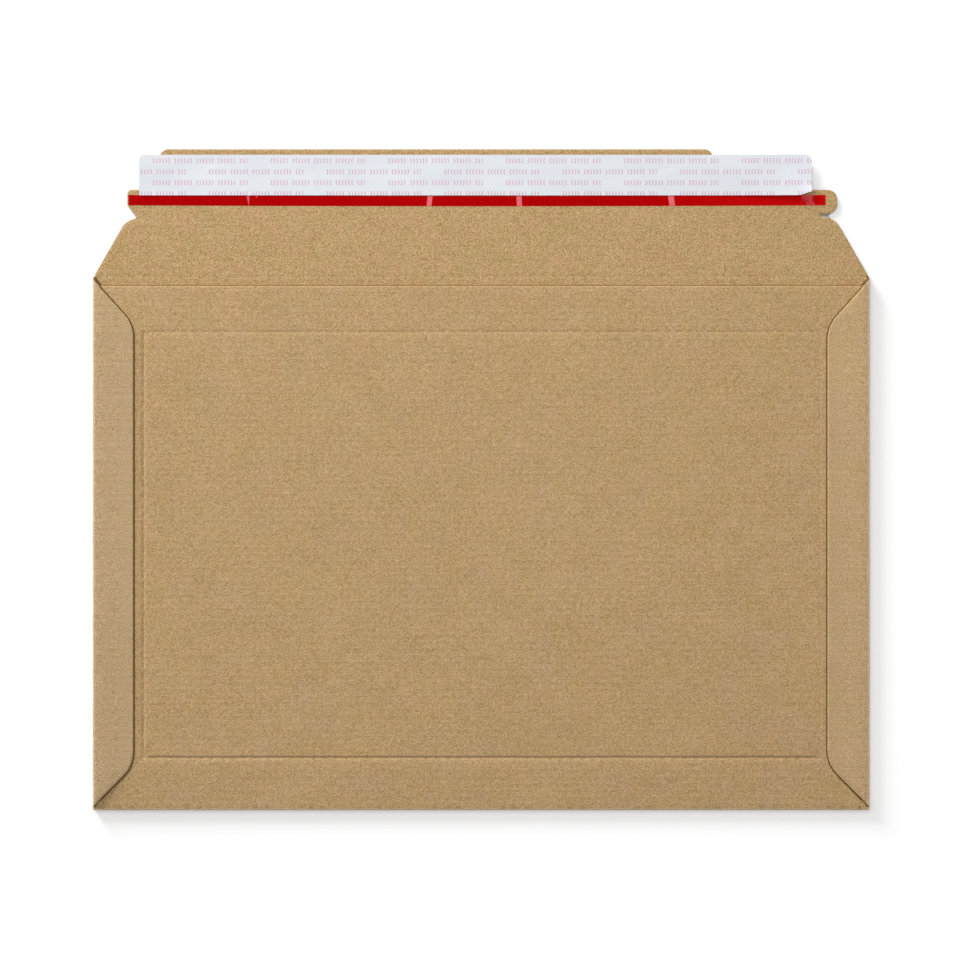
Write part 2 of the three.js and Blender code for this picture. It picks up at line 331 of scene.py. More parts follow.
@dataclass
class Plate:
    """A thin closed plate: one outline meshed once, used for both faces, with walls between.

    Attributes:
        outline: The closed outline in the plate's flat coordinates.
        inside: Points inside it that the faces pass through.
        clearance: Inside points nearer than this to the outline are dropped.
        rim_step: Spacing of the outline's points when distances from it are measured.
        sharp_deg: An edge whose faces turn by more than this is shaded sharp.
    """

    outline: Array
    inside: Array
    clearance: float = 0.25
    rim_step: float = 0.4
    sharp_deg: float = 48.0

    def meshed(self) -> tuple[Array, Array, Array, Array]:
        """Mesh the outline and its inside points with constrained triangles.

        Returns:
            The flat points, the triangles, each point's distance from the outline and the
            direction that leads straight away from it.
        """
        rim = resampled(self.outline, self.rim_step)
        kept = self.inside[nearest(self.inside, rim)[0] > self.clearance]
        flat = np.vstack([self.outline, kept[enclosed(kept, self.outline)]])
        ring = list(range(len(self.outline)))
        found = delaunay_2d_cdt([Vector(point) for point in flat], [], [ring], 1, 1e-6, False)
        points = np.array([vertex[:] for vertex in found[0]], float)
        triangles = np.array(found[2], int)
        triangles = triangles[enclosed(points[triangles].mean(1), self.outline)]
        used, triangles = np.unique(triangles, return_inverse=True)
        points, triangles = points[used], triangles.reshape(-1, 3)
        corner = points[triangles]
        side, other = corner[:, 1] - corner[:, 0], corner[:, 2] - corner[:, 0]
        backwards = side[:, 0] * other[:, 1] < side[:, 1] * other[:, 0]
        triangles[backwards] = triangles[backwards][:, ::-1]
        edge, which = nearest(points, rim)
        return points, triangles, edge, inward(rim)[which]

    def built(
        self,
        name: str,
        place: Placement,
        outer: Surface,
        inner: Surface,
        finishes: Sequence[bpy.types.Material],
        pitch: float,
        wall_rows: int = 2,
        lean: Surface | None = None,
    ) -> bpy.types.Object:
        """Write the plate's mesh: outer face, inner face and the walls round every cut edge.

        Args:
            name: The object's name.
            place: Where a point (s, w) at depth n goes, as x, y and z.
            outer: Depth of the outer face at (s, w), given the distance from the outline.
            inner: Depth of the inner face.
            finishes: Materials of the outer face, the inner face and the walls.
            pitch: Length of w that one unit of the UV map's first axis covers.
            wall_rows: How many rows of faces a wall has.
            lean: How far the outer face is drawn in from the outline, if at all.

        Returns:
            The new object, at the origin.
        """
        points, triangles, edge, away = self.meshed()
        s, w = points.T
        faces = {0.0: outer(s, w, edge), 1.0: inner(s, w, edge)}
        count = len(points)
        drawn = np.zeros_like(points) if lean is None else lean(s, w, edge)[:, None] * away

        directed = np.vstack([triangles[:, [0, 1]], triangles[:, [1, 2]], triangles[:, [2, 0]]])
        keys = directed[:, 0] * count + directed[:, 1]
        rim = directed[~np.isin(keys, directed[:, 1] * count + directed[:, 0])]
        rim_points = np.unique(rim)
        order = np.full(count, -1)
        order[rim_points] = np.arange(len(rim_points))

        shares = np.arange(1, wall_rows) / wall_rows
        flat = [points + drawn, points] + [
            (points + (1.0 - share) * drawn)[rim_points] for share in shares
        ]
        depth = [faces[0.0], faces[1.0]] + [
            faces[0.0][rim_points] * (1.0 - share) + faces[1.0][rim_points] * share
            for share in shares
        ]
        across = [np.zeros(count), np.ones(count)] + [
            np.full(len(rim_points), share) for share in shares
        ]
        s_all, w_all = np.vstack(flat).T
        n_all, v_all = np.concatenate(depth), np.concatenate(across)

        def row(index: int) -> Array:
            """Vertex numbers of one ring of the wall, as pairs along the rim.

            Args:
                index: Number of the ring, counted from the outer face.

            Returns:
                The pairs.
            """
            if index in (0, wall_rows):
                return rim + (count if index else 0)
            return order[rim] + 2 * count + (index - 1) * len(rim_points)

        walls = [
            np.column_stack([row(k)[:, 0], row(k)[:, 1], row(k + 1)[:, 1], row(k + 1)[:, 0]])
            for k in range(wall_rows)
        ]
        wall_faces = np.vstack(walls)
        loops = np.concatenate(
            [triangles[:, ::-1].ravel(), (triangles + count).ravel(), wall_faces.ravel()]
        )
        sizes = np.concatenate([np.full(2 * len(triangles), 3), np.full(len(wall_faces), 4)])
        material = np.repeat([0, 1, 2], [len(triangles), len(triangles), len(wall_faces)])

        mesh = bpy.data.meshes.new(name)
        mesh.vertices.add(len(s_all))
        spots = (place(s_all, w_all, n_all) * MM).astype(np.float32)
        mesh.vertices.foreach_set("co", spots.ravel())
        mesh.loops.add(len(loops))
        mesh.loops.foreach_set("vertex_index", loops.astype(np.int32))
        mesh.polygons.add(len(sizes))
        starts = np.concatenate([[0], np.cumsum(sizes)[:-1]])
        mesh.polygons.foreach_set("loop_start", starts.astype(np.int32))
        mesh.polygons.foreach_set("material_index", material.astype(np.int32))
        mesh.polygons.foreach_set("use_smooth", np.ones(len(sizes), bool))
        layer = mesh.uv_layers.new(name="Board")
        uv = np.column_stack([w_all / pitch, v_all])[loops]
        layer.data.foreach_set("uv", uv.astype(np.float32).ravel())
        for finish in finishes:
            mesh.materials.append(finish)
        mesh.update(calc_edges=True)
        mesh.validate(clean_customdata=False)
        mesh.set_sharp_from_angle(angle=math.radians(self.sharp_deg))
        made = bpy.data.objects.new(name, mesh)
        bpy.context.scene.collection.objects.link(made)
        return made


# Shader graphs


class Graph:
    """A material's or a world's nodes, made one call at a time."""

    def __init__(self, tree: bpy.types.NodeTree) -> None:
        """Start on an emptied tree."""
        self.tree = tree
        tree.nodes.clear()

    def node(self, kind: str, settings: dict | None = None, **values: object) -> bpy.types.Node:
        """Add a node, set it up, then feed its sockets.

        Args:
            kind: Type of the node, without its leading ShaderNode.
            settings: Properties to set first, such as operation.
            **values: Socket values or links, by the socket's name with _ for a space, or by
                its number after an i.

        Returns:
            The node.
        """
        made = self.tree.nodes.new("ShaderNode" + kind)
        for key, value in (settings or {}).items():
            setattr(made, key, value)
        for key, value in values.items():
            numbered = key[0] == "i" and key[1:].isdigit()
            socket = made.inputs[int(key[1:]) if numbered else key.replace("_", " ")]
            if isinstance(value, Signal):
                value = value.socket
            if isinstance(value, bpy.types.NodeSocket):
                self.tree.links.new(value, socket)
            else:
                socket.default_value = value
        return made

    def signal(self, kind: str, settings: dict | None = None, out: int = 0,
               **values: object) -> Signal:
        """Add a node and wrap one of its outputs.

        Args:
            kind: Type of the node, without its leading ShaderNode.
            settings: Properties to set first.
            out: Number of the output.
            **values: Socket values or links.

        Returns:
            The output, ready for arithmetic.
        """
        return Signal(self, self.node(kind, settings, **values).outputs[out])

    def place(self) -> tuple[Signal, Signal, Signal]:
        """Object coordinates in millimetres, as three signals."""
        point = self.node("TexCoord").outputs["Object"]
        split = self.node("SeparateXYZ", Vector=point)
        return tuple(Signal(self, output) * (1.0 / MM) for output in split.outputs)

    def stretched(self, scale: Sequence[float], turn: float = 0.0) -> bpy.types.NodeSocket:
        """Object coordinates turned about Z and scaled, for a texture whose unit is 1.

        Args:
            scale: Repeats per millimetre along each turned axis.
            turn: Angle about Z, in degrees.

        Returns:
            The vector socket.
        """
        point = self.node("TexCoord").outputs["Object"]
        turned = self.node("VectorRotate", {"rotation_type": "Z_AXIS"}, Vector=point,
                           Angle=math.radians(turn))
        scaled = tuple(value / MM for value in scale)
        return self.node("Mapping", None, Vector=turned.outputs[0], Scale=scaled).outputs[0]

    def noise(self, scale: Sequence[float], turn: float = 0.0, detail: float = 2.0,
              roughness: float = 0.5) -> Signal:
        """Noise about 0: between -1 and 1, mostly within a third of that.

        Args:
            scale: Repeats per millimetre along each turned axis.
            turn: Angle of the pattern about Z, in degrees.
            detail: Octaves of the noise.
            roughness: Strength of the finer octaves.

        Returns:
            The centred noise.
        """
        vector = self.stretched(scale, turn)
        raw = self.signal("TexNoise", {"noise_dimensions": "3D"}, Vector=vector, Scale=1.0,
                          Detail=detail, Roughness=roughness)
        return raw * 2.0 - 1.0

    def specks(self, cell: float, size: float, stretch: float, turn: float) -> Signal:
        """Sparse short strokes: 1 inside a stroke and 0 outside, one stroke to a cell.

        Args:
            cell: Mean distance between strokes.
            size: Half width of a stroke.
            stretch: Length of a stroke over its width.
            turn: Direction of the strokes about Z, in degrees.

        Returns:
            The mask.
        """
        vector = self.stretched((1.0 / (cell * stretch), 1.0 / cell, 1.0 / cell), turn)
        distance = self.signal("TexVoronoi", {"feature": "F1"}, Vector=vector, Scale=1.0)
        return distance.eased(size / cell, 0.4 * size / cell)

    def mixed(self, share: Signal | float, first: object, second: object) -> bpy.types.NodeSocket:
        """Mix two colours: first at 0, second at 1."""
        made = self.node("Mix", {"data_type": "RGBA"}, i0=share, i6=first, i7=second)
        return made.outputs[2]

    def toned(self, colour: object, tone: Signal, about: Sequence[float]) -> bpy.types.NodeSocket:
        """Lighten or darken a colour by equal display steps in its three channels.

        A display step d changes a linear channel c by about 2.2 c^0.545 d.

        Args:
            colour: The colour.
            tone: The step, where 1 is the whole display range.
            about: The linear colour that the steps are worked out for.

        Returns:
            The toned colour.
        """
        slope = tuple(2.2 * channel**0.545 for channel in about[:3])
        made = self.node("VectorMath", {"operation": "MULTIPLY_ADD"}, i0=tone, i1=slope, i2=colour)
        return made.outputs[0]

    def bumped(self, height: Signal, strength: float = 1.0) -> bpy.types.NodeSocket:
        """Normal of a surface raised by a height in millimetres."""
        return self.node("Bump", None, Height=height, Strength=strength, Distance=MM).outputs[0]


class Signal:
    """One value that varies over a surface; each operator adds one Math node."""

    def __init__(self, graph: Graph, socket: bpy.types.NodeSocket) -> None:
        """Wrap an output socket."""
        self.graph = graph
        self.socket = socket

    def _math(self, operation: str, *values: object, clamp: bool = False) -> Signal:
        """Add a Math node on this value and the others given."""
        sockets = {f"i{index}": value for index, value in enumerate(values)}
        return self.graph.signal("Math", {"operation": operation, "use_clamp": clamp}, **sockets)

    def __add__(self, other: object) -> Signal:
        """Sum."""
        return self._math("ADD", self, other)

    __radd__ = __add__

    def __sub__(self, other: object) -> Signal:
        """Difference."""
        return self._math("SUBTRACT", self, other)

    def __rsub__(self, other: object) -> Signal:
        """Difference the other way round."""
        return self._math("SUBTRACT", other, self)

    def __mul__(self, other: object) -> Signal:
        """Product."""
        return self._math("MULTIPLY", self, other)

    __rmul__ = __mul__

    def __truediv__(self, other: object) -> Signal:
        """Quotient."""
        return self._math("DIVIDE", self, other)

    def __gt__(self, other: object) -> Signal:
        """1 where this is greater, else 0."""
        return self._math("GREATER_THAN", self, other)

    def __lt__(self, other: object) -> Signal:
        """1 where this is smaller, else 0."""
        return self._math("LESS_THAN", self, other)

    def __abs__(self) -> Signal:
        """Size without sign."""
        return self._math("ABSOLUTE", self)

    def sine(self) -> Signal:
        """Sine of an angle in radians."""
        return self._math("SINE", self)

    def fraction(self) -> Signal:
        """What is left over whole numbers."""
        return self._math("FRACT", self)

    def most(self, other: object) -> Signal:
        """The greater of two."""
        return self._math("MAXIMUM", self, other)

    def held(self) -> Signal:
        """Held between 0 and 1."""
        return self._math("ADD", self, 0.0, clamp=True)

    def eased(self, low: float, high: float) -> Signal:
        """Ease from 0 to 1 with a smooth ramp.

        Args:
            low: Where the result is 0.
            high: Where it is 1, which may be the smaller of the two.

        Returns:
            The eased value.
        """
        swapped = low > high
        ends = (high, low) if swapped else (low, high)
        ramp = self.graph.signal(
            "MapRange", {"interpolation_type": "SMOOTHSTEP"},
            Value=self, From_Min=ends[0], From_Max=ends[1], To_Min=0.0, To_Max=1.0,
        )
        return 1.0 - ramp if swapped else ramp


def new_material(name: str) -> tuple[bpy.types.Material, Graph]:
    """Make an empty node material and its graph.

    Args:
        name: The material's name.

    Returns:
        The material and the graph of its nodes.
    """
    material = bpy.data.materials.new(name)
    material.use_nodes = True
    return material, Graph(material.node_tree)


def finish_with(graph: Graph, **sockets: object) -> None:
    """End a graph with a Principled shader that has the given sockets."""
    shader = graph.node("BsdfPrincipled", None, **sockets)
    graph.node("OutputMaterial", None, Surface=shader.outputs[0])


def shown_white(graph: Graph) -> Signal:
    """Tell the rays to which the surroundings look white: those of the camera, gloss and glass.

    Args:
        graph: The graph that the Light Path node goes into.

    Returns:
        1 for such a ray, else 0.
    """
    path = graph.node("LightPath").outputs
    seen, gloss, glass = (
        Signal(graph, path[f"Is {kind} Ray"]) for kind in ("Camera", "Glossy", "Transmission")
    )
    return seen.most(gloss).most(glass)


# Finishes


class Liner(Enum):
    """The two faces of the board."""

    OUTSIDE = "outside"
    INSIDE = "inside"


@dataclass(frozen=True)
class KraftPaper:
    """Brown liner paper over fine flutes.

    Attributes:
        name: The material's name.
        face: Which face of the board it is.
        colour: Mean display colour.
        grain: Change of display colour that the paper's fine grain makes.
        fibre: The same for its fibres.
        flute_pitch: Distance between two flutes.
        flute_height: How far the washboard lines stand out.
        pale: Display colour of the painted sheen on the raised side flaps.
        ruddy: Display colour that middling patches lean to on one side.
        olive: The same on their other side.
        rosy: Display colour that the finer patches lean to on one side.
        sandy: The same on their other side.
        wear_and_light_left: Display colour of the left fold, worn and with painted light on its
            rounded side.
        wear_and_light_right: The same of the right fold.
        wear_and_light_below: The same of the bottom fold.
        fleck: Display colour of the small flecks.
        bark: Display colour of the large dark flecks.
        strand: Display colour of the long thin strands.
        straw: Display colour of the pale fibres.
        cleft: Display colour of the shade where a side flap leaves its fold.
    """

    name: str
    face: Liner
    colour: tuple[int, int, int]
    grain: float
    fibre: float
    flute_pitch: float
    flute_height: float
    pale: tuple[int, int, int] = (192, 167, 130)
    ruddy: tuple[int, int, int] = (192, 144, 106)
    olive: tuple[int, int, int] = (172, 153, 98)
    rosy: tuple[int, int, int] = (180, 150, 116)
    sandy: tuple[int, int, int] = (182, 150, 97)
    wear_and_light_left: tuple[int, int, int] = (206, 186, 156)
    wear_and_light_right: tuple[int, int, int] = (244, 222, 188)
    wear_and_light_below: tuple[int, int, int] = (226, 198, 156)
    fleck: tuple[int, int, int] = (118, 84, 48)
    bark: tuple[int, int, int] = (84, 56, 30)
    strand: tuple[int, int, int] = (110, 78, 44)
    straw: tuple[int, int, int] = (222, 196, 156)
    cleft: tuple[int, int, int] = (72, 48, 20)

    def made(self, sizes: FrameSizes) -> bpy.types.Material:
        """Build the material.

        Args:
            sizes: The frame's sizes, for where the side flaps lie.

        Returns:
            The material.
        """
        material, graph = new_material(self.name)
        x, y, z = graph.place()
        base = linear(*self.colour)

        cloud = graph.noise((0.035, 0.05, 0.05), detail=3.0)
        patch = graph.noise((0.11, 0.14, 0.14), turn=20.0, detail=2.0)
        cool = graph.noise((0.07, 0.1, 0.1), turn=-50.0, detail=3.0)
        fine = graph.noise((1.85, 1.95, 1.8), detail=1.6, roughness=0.8)
        fibre = graph.noise((0.4, 1.5, 1.0), turn=4.0, detail=2.0, roughness=0.6)
        cross = graph.noise((0.4, 1.6, 1.0), turn=84.0, detail=2.0, roughness=0.6)
        lines = self._washboard(y)

        on_pocket = z.eased(sizes.top_z + 0.4, sizes.top_z + 0.1)
        outside = self.face is Liner.OUTSIDE
        warmth, coolness = (0.38, 0.8) if outside else (0.6, 0.25)
        colour = base
        for pattern, amount, one_way, other_way in (
            (patch, warmth, self.ruddy, self.olive), (cool, coolness, self.rosy, self.sandy),
        ):
            rising, falling = pattern.most(0.0), (0.0 - pattern).most(0.0)
            colour = graph.mixed((amount * rising).held(), colour, linear(*one_way))
            colour = graph.mixed((amount * falling).held(), colour, linear(*other_way))
        if outside:
            colour = self._handled(graph, colour, on_pocket, sizes)
        tone = self.grain * fine + self.fibre * (0.6 * fibre + cross)
        tone = tone + 0.02 * cloud + 0.01 * patch + 0.004 * lines
        colour = graph.toned(colour, tone, base)

        for share, shade, cell, size, stretch, turn in (
            (0.24, self.fleck, 5.0, 0.27, 1.6, 12.0),
            (0.62, self.bark, 31.0, 0.5, 1.5, -35.0),
            (0.4, self.strand, 44.0, 0.34, 4.5, 75.0),
            (0.3, self.straw, 6.0, 0.24, 1.8, -20.0),
        ):
            strokes = graph.specks(cell, size, stretch, turn)
            colour = graph.mixed(share * strokes, colour, linear(*shade))
        shade = self._corner_shade(x, y, sizes) * on_pocket
        colour = graph.mixed(shade, colour, linear(*self.cleft))

        height = self.flute_height * lines + 0.014 * fine + 0.006 * fibre
        finish_with(
            graph,
            Base_Color=colour,
            Roughness=(0.86 + 0.08 * fine).held(),
            Specular_IOR_Level=0.28,
            Normal=graph.bumped(height, 0.8),
        )
        return material

    def _handled(self, graph: Graph, colour: bpy.types.NodeSocket, on_pocket: Signal,
                 sizes: FrameSizes) -> bpy.types.NodeSocket:
        """Painted sheen on the side flaps, and folds made paler along the pocket's rim, as wear and
        as painted light.

        Args:
            graph: The material's graph.
            colour: The colour so far.
            on_pocket: 1 up to the pocket's top, 0 on the flap when it is closed over it.
            sizes: The frame's sizes.

        Returns:
            The colour with both.
        """
        x, y, z = graph.place()
        inner_x = sizes.half_width - SideFlapSizes().right_width
        # Painted sheen: the raised side flaps are mixed towards the pale colour, more on the left,
        # towards the key lamp.
        raised = (z > sizes.top_z - sizes.board - 0.05) * (abs(x) > inner_x - 0.4) * on_pocket
        left = (0.0 - x).eased(-1.0, 1.0)
        colour = graph.mixed(raised * (0.28 + 0.14 * left), colour, linear(*self.pale))
        # Wear and painted light: the folds turn paler along the rim, partly as rubbed fibres and
        # partly to offset the shade on their rounded sides.
        side_rim = (sizes.half_width - 1.7, sizes.half_width - 0.3)
        lower_rim = (-sizes.bottom_y - 1.4, -sizes.bottom_y - 0.3)
        for outward, rim, share, worn in (
            (0.0 - x, side_rim, 0.7, self.wear_and_light_left), (x, side_rim, 0.8, self.wear_and_light_right),
            (0.0 - y, lower_rim, 0.75, self.wear_and_light_below),
        ):
            rim_wear_and_light = outward.eased(*rim) * on_pocket
            colour = graph.mixed(share * rim_wear_and_light, colour, linear(*worn))
        return colour

    def _corner_shade(self, x: Signal, y: Signal, sizes: FrameSizes) -> Signal:
        """Deep shade where a side flap's slanted end leaves the fold, beside the crease.

        It lies along the line y = crease - 1.11 (half width - |x|) and is 4 mm long.

        Args:
            x: Across the envelope.
            y: Along it.
            sizes: The frame's sizes.

        Returns:
            The share of shade.
        """
        inset = sizes.half_width - abs(x)
        away = abs(y - sizes.crease_y + 1.11 * inset) * 0.67
        return 0.85 * away.eased(0.62, 0.25) * inset.eased(4.2, 3.4)

    def _washboard(self, along: Signal) -> Signal:
        """Washboard lines: cos(q) + 0.5 cos(2q + 0.6), with q one turn per flute."""
        turn = along * (TAU / self.flute_pitch)
        return (turn + TAU / 4).sine() + 0.5 * (2.0 * turn + 0.6 + TAU / 4).sine()


@dataclass(frozen=True)
class FlutedEdge:
    """Cut edge of the board: two liners with the wave of the fluting between them.

    Attributes:
        name: The material's name.
        paper: Display colour of the cut paper, darkened in part as painted shade for the dark
            seams.
        hollow_shade: Display colour of the painted shade inside the flutes.
        slit: Display colour of the sloping sides of the thumb tab's slit, a painted shadow of the
            table beneath.
        pulp: Display colour of the cut paper's pale spots.
        liner: Share of the thickness that one liner takes.
        wave: Share of the thickness that the wave swings either way.
        medium: Half the wave paper's share of the thickness.
    """

    name: str = "fluted_edge"
    paper: tuple[int, int, int] = (142, 106, 60)
    hollow_shade: tuple[int, int, int] = (62, 40, 14)
    slit: tuple[int, int, int] = (198, 184, 171)
    pulp: tuple[int, int, int] = (160, 124, 76)
    liner: float = 0.14
    wave: float = 0.29
    medium: float = 0.1

    def made(self, sizes: FrameSizes) -> bpy.types.Material:
        """Build the material, which reads the board's own UV map: flutes along U, depth along V.

        The sloping sides of the thumb tab's slit are greyed, as a painted shadow of the table
        beneath.

        Args:
            sizes: The frame's sizes, for where the slit lies.

        Returns:
            The material.
        """
        material, graph = new_material(self.name)
        x, y, _ = graph.place()
        flap = FlapSizes()
        middle = sizes.crease_y + flap.slit + flap.tab_slit_gap / 2.0
        slit_end = sizes.half_width - flap.tab_inset - flap.tab_slit_depth
        in_slit = abs(y - middle).eased(1.6, 1.3) * abs(x - slit_end - 2.4).eased(3.6, 3.0)
        uv = graph.node("UVMap", {"uv_map": "Board"}).outputs[0]
        split = graph.node("SeparateXYZ", Vector=uv)
        flutes, depth = Signal(graph, split.outputs[0]), Signal(graph, split.outputs[1])
        grain = graph.noise((1.6, 1.6, 3.0), detail=2.0)
        off_centre = abs(depth - 0.5)
        liners = off_centre.eased(0.5 - self.liner - 0.04, 0.5 - self.liner + 0.02)
        swing = 0.5 + self.wave * (flutes * TAU).sine()
        core = abs(depth - swing).eased(self.medium + 0.07, self.medium - 0.02)
        solid = liners.most(core)
        paper = graph.mixed((0.5 + 0.8 * grain).held(), linear(*self.paper), linear(*self.pulp))
        # Painted shade: the flutes' hollows on the flat cut wall are coloured dark.
        colour = graph.mixed(solid, linear(*self.hollow_shade), paper)
        # Painted shadow: the slit's sloping sides take the grey of the shaded table beneath.
        colour = graph.mixed(0.9 * in_slit, colour, linear(*self.slit))
        finish_with(
            graph,
            Base_Color=colour,
            Roughness=(0.95 + 0.05 * grain).held(),
            Specular_IOR_Level=0.15,
            Normal=graph.bumped(0.12 * solid + 0.03 * grain, 0.9),
        )
        return material


@dataclass(frozen=True)
class TearFilm:
    """Glossy red film with pale kinks where it has been pulled.

    Attributes:
        name: The material's name.
        colour: Display colour of the film.
        deep: Display colour of the film's darker streaks.
        painted_light_red: Display colour that it reaches towards its right end, as painted light.
        kink: Display colour of a kink.
        bands: Centre, width and lean of each kink across the film, in millimetres.
        nicks: Centre, half width at the top edge and taper of each wedge-shaped nick.
        smear_centre: Centre of the pale smear near the right end.
    """

    name: str = "red_film"
    colour: tuple[int, int, int] = (178, 2, 4)
    deep: tuple[int, int, int] = (164, 1, 3)
    painted_light_red: tuple[int, int, int] = (198, 8, 10)
    kink: tuple[int, int, int] = (232, 116, 122)
    bands: tuple[tuple[float, float, float], ...] = (
        (-24.9, 2.3, 0.12), (18.4, 2.4, -0.06), (92.0, 2.7, -0.14),
    )
    nicks: tuple[tuple[float, float, float], ...] = ((-112.5, 0.95, 0.14), (-108.4, 0.85, 0.5))
    smear_centre: float = 158.0

    def made(self, sizes: FrameSizes) -> bpy.types.Material:
        """Build the material.

        Args:
            sizes: The frame's sizes, for where the film lies.

        Returns:
            The material.
        """
        material, graph = new_material(self.name)
        x, y, _ = graph.place()
        middle = float(sizes.strip_low[1] + sizes.strip_high[1]) / 2.0
        half = float(sizes.strip_high[1] - sizes.strip_low[1]) / 2.0
        off = y - middle
        streak = graph.noise((0.02, 1.2, 1.0), detail=2.0)
        scuff = graph.noise((0.5, 0.9, 1.0), turn=30.0, detail=3.0)
        cloudy = graph.noise((0.9, 1.7, 1.0), turn=-25.0, detail=3.0, roughness=0.7)

        kinks: Signal | None = None
        for centre, width, lean in self.bands:
            reach = abs(x - centre - lean * off)
            band = reach.eased(width / 2.0 + 0.25, width / 2.0 - 0.2)
            kinks = band if kinks is None else kinks.most(band)
        for centre, width, taper in self.nicks:
            nick = (abs(x - centre + 0.1 * off) + (half - off) * taper).eased(width, width - 0.45)
            kinks = kinks.most(0.8 * nick)
        blotch = graph.noise((0.45, 0.16, 1.0), turn=-12.0, detail=2.0, roughness=0.6)
        smear = abs(x - self.smear_centre).eased(3.7, 2.7) * (blotch + 0.34).eased(0.0, 0.5)
        kinks = kinks.most(0.5 * smear)
        share = (kinks * (0.82 + 0.5 * cloudy)).held()

        red = graph.mixed((0.5 + 0.8 * streak + 0.2 * scuff).held(),
                          linear(*self.deep), linear(*self.colour))
        # Painted light: the red is lightened towards the film's right end.
        red = graph.mixed(x.eased(60.0, 175.0), red, linear(*self.painted_light_red))
        finish_with(
            graph,
            Base_Color=graph.mixed(share, red, linear(*self.kink)),
            Roughness=(0.3 + 0.12 * scuff + 0.2 * share).held(),
            Specular_IOR_Level=0.004,
            Normal=graph.bumped(0.006 * streak + 0.01 * scuff + 0.06 * share, 0.7),
        )
        return material


@dataclass(frozen=True)
class LinerPaper:
    """White release paper with rows of small pink chevrons that point either way in turn.

    Attributes:
        name: The material's name.
        colour: Display colour of the paper.
        dull: Display colour of its cloudy parts.
        ink: Display colour of the marks.
        block_pitch: From one block of marks to the next along a row.
        block_length: Length of a block.
        row_pitch: From one row to the next.
        row_height: Height of a mark.
        cell: From one mark to the next.
        group: How many cells one group and its gap take.
        first_block: Where a block starts on the rows that aren't shifted.
        first_row: Middle of the uppermost row.
        row_shift: How far every second row is shifted.
    """

    name: str = "release_paper"
    colour: tuple[int, int, int] = (219, 222, 227)
    dull: tuple[int, int, int] = (212, 216, 222)
    ink: tuple[int, int, int] = (200, 120, 160)
    block_pitch: float = 56.9
    block_length: float = 46.0
    row_pitch: float = 5.32
    row_height: float = 2.5
    cell: float = 1.5
    group: int = 7
    first_block: float = -159.0
    first_row: float = 154.0
    row_shift: float = 27.1

    def made(self) -> bpy.types.Material:
        """Build the material.

        Returns:
            The material.
        """
        material, graph = new_material(self.name)
        x, y, _ = graph.place()
        worn = graph.noise((0.8, 0.9, 1.0), detail=3.0, roughness=0.7)
        cloud = graph.noise((0.05, 0.12, 0.1), detail=2.0)
        ripple = graph.noise((0.03, 0.01, 0.02), detail=1.0)

        down = (self.first_row + self.row_pitch / 2.0 - y) / self.row_pitch
        row = down - down.fraction()
        odd = (row * 0.5).fraction() > 0.25
        across = x - self.first_block - self.row_shift * odd + 4.0 * self.block_pitch
        block = across / self.block_pitch
        inside = block.fraction() * self.block_pitch
        turned = ((block - block.fraction() + row) * 0.5).fraction() > 0.25
        lean = 1.0 - 2.0 * turned

        rise = abs(down.fraction() - 0.5) * (2.0 * self.row_pitch / self.row_height)
        step = inside / self.cell
        local = step.fraction() - 0.5
        gap = (step / float(self.group)).fraction() < 1.0 - 1.0 / self.group
        stroke = abs(local + lean * (rise - 0.5) * 0.36).eased(0.24, 0.12)
        mark = stroke * rise.eased(1.04, 0.94) * inside.eased(self.block_length + 0.2,
                                                             self.block_length - 0.2)
        mark = mark * gap
        share = (mark * (0.62 + 0.5 * worn)).held()

        paper = graph.mixed((0.5 + 1.1 * cloud + 0.35 * worn).held(),
                            linear(*self.dull), linear(*self.colour))
        finish_with(
            graph,
            Base_Color=graph.mixed(share, paper, linear(*self.ink)),
            Roughness=(0.5 + 0.1 * worn).held(),
            Specular_IOR_Level=0.35,
            Normal=graph.bumped(0.05 * ripple + 0.006 * worn, 0.8),
        )
        return material


@dataclass(frozen=True)
class Adhesive:
    """Clear sticky resin, used for the lip's band and for the glue under the side flaps.

    Attributes:
        name: The material's name.
        colour: Display colour.
        roughness: Mean roughness.
        bead: Length of the small waves in its surface.
    """

    name: str
    colour: tuple[int, int, int]
    roughness: float
    bead: float

    def made(self) -> bpy.types.Material:
        """Build the material.

        Returns:
            The material.
        """
        material, graph = new_material(self.name)
        waves = graph.noise((1.0 / self.bead, 1.0 / self.bead, 1.0), detail=3.0)
        dust = graph.noise((0.9, 0.9, 0.9), detail=2.0)
        light = linear(*self.colour)
        dark = tuple(channel * 0.8 for channel in light[:3]) + (1.0,)
        finish_with(
            graph,
            Base_Color=graph.mixed((0.6 + waves + 0.3 * dust).held(), dark, light),
            Roughness=(self.roughness + 0.15 * dust).held(),
            Specular_IOR_Level=0.5,
            Normal=graph.bumped(0.05 * waves, 0.8),
        )
        return material


# The board


@dataclass(frozen=True)
class SideFlapSizes:
    """Side flaps: width from the pocket's edge, corner radius, ends and the slopes of them."""

    left_width: float = 20.35
    right_width: float = 21.15
    radius: float = 17.0
    start: float = 0.5
    relief: float = 0.05
    thinning: float = 0.95
    top_mitre_deg: float = 48.0
    bottom_mitre_deg: float = 45.5


@dataclass(frozen=True)
class PanelSizes:
    """Near panel: its set-backs, its pressed scores and how far its cut edges lean back.

    The depths are those of the top and the bottom score, then of the left one with its diagonal
    and of the right one with its own.
    """

    gap: float = 0.6
    throat_setback: float = 3.7
    side_gap: float = 0.3
    score_left: float = 24.75
    score_right: float = 23.7
    score_bottom: float = 25.5
    score_top: float = 26.4
    score_spread: float = 0.45
    score_slope: float = 2.0
    score_depths: tuple[float, ...] = (0.2, 0.42, 0.6, 0.12, 0.08, 0.14)
    throat_lean: float = 0.5
    flap_lean: float = 0.7


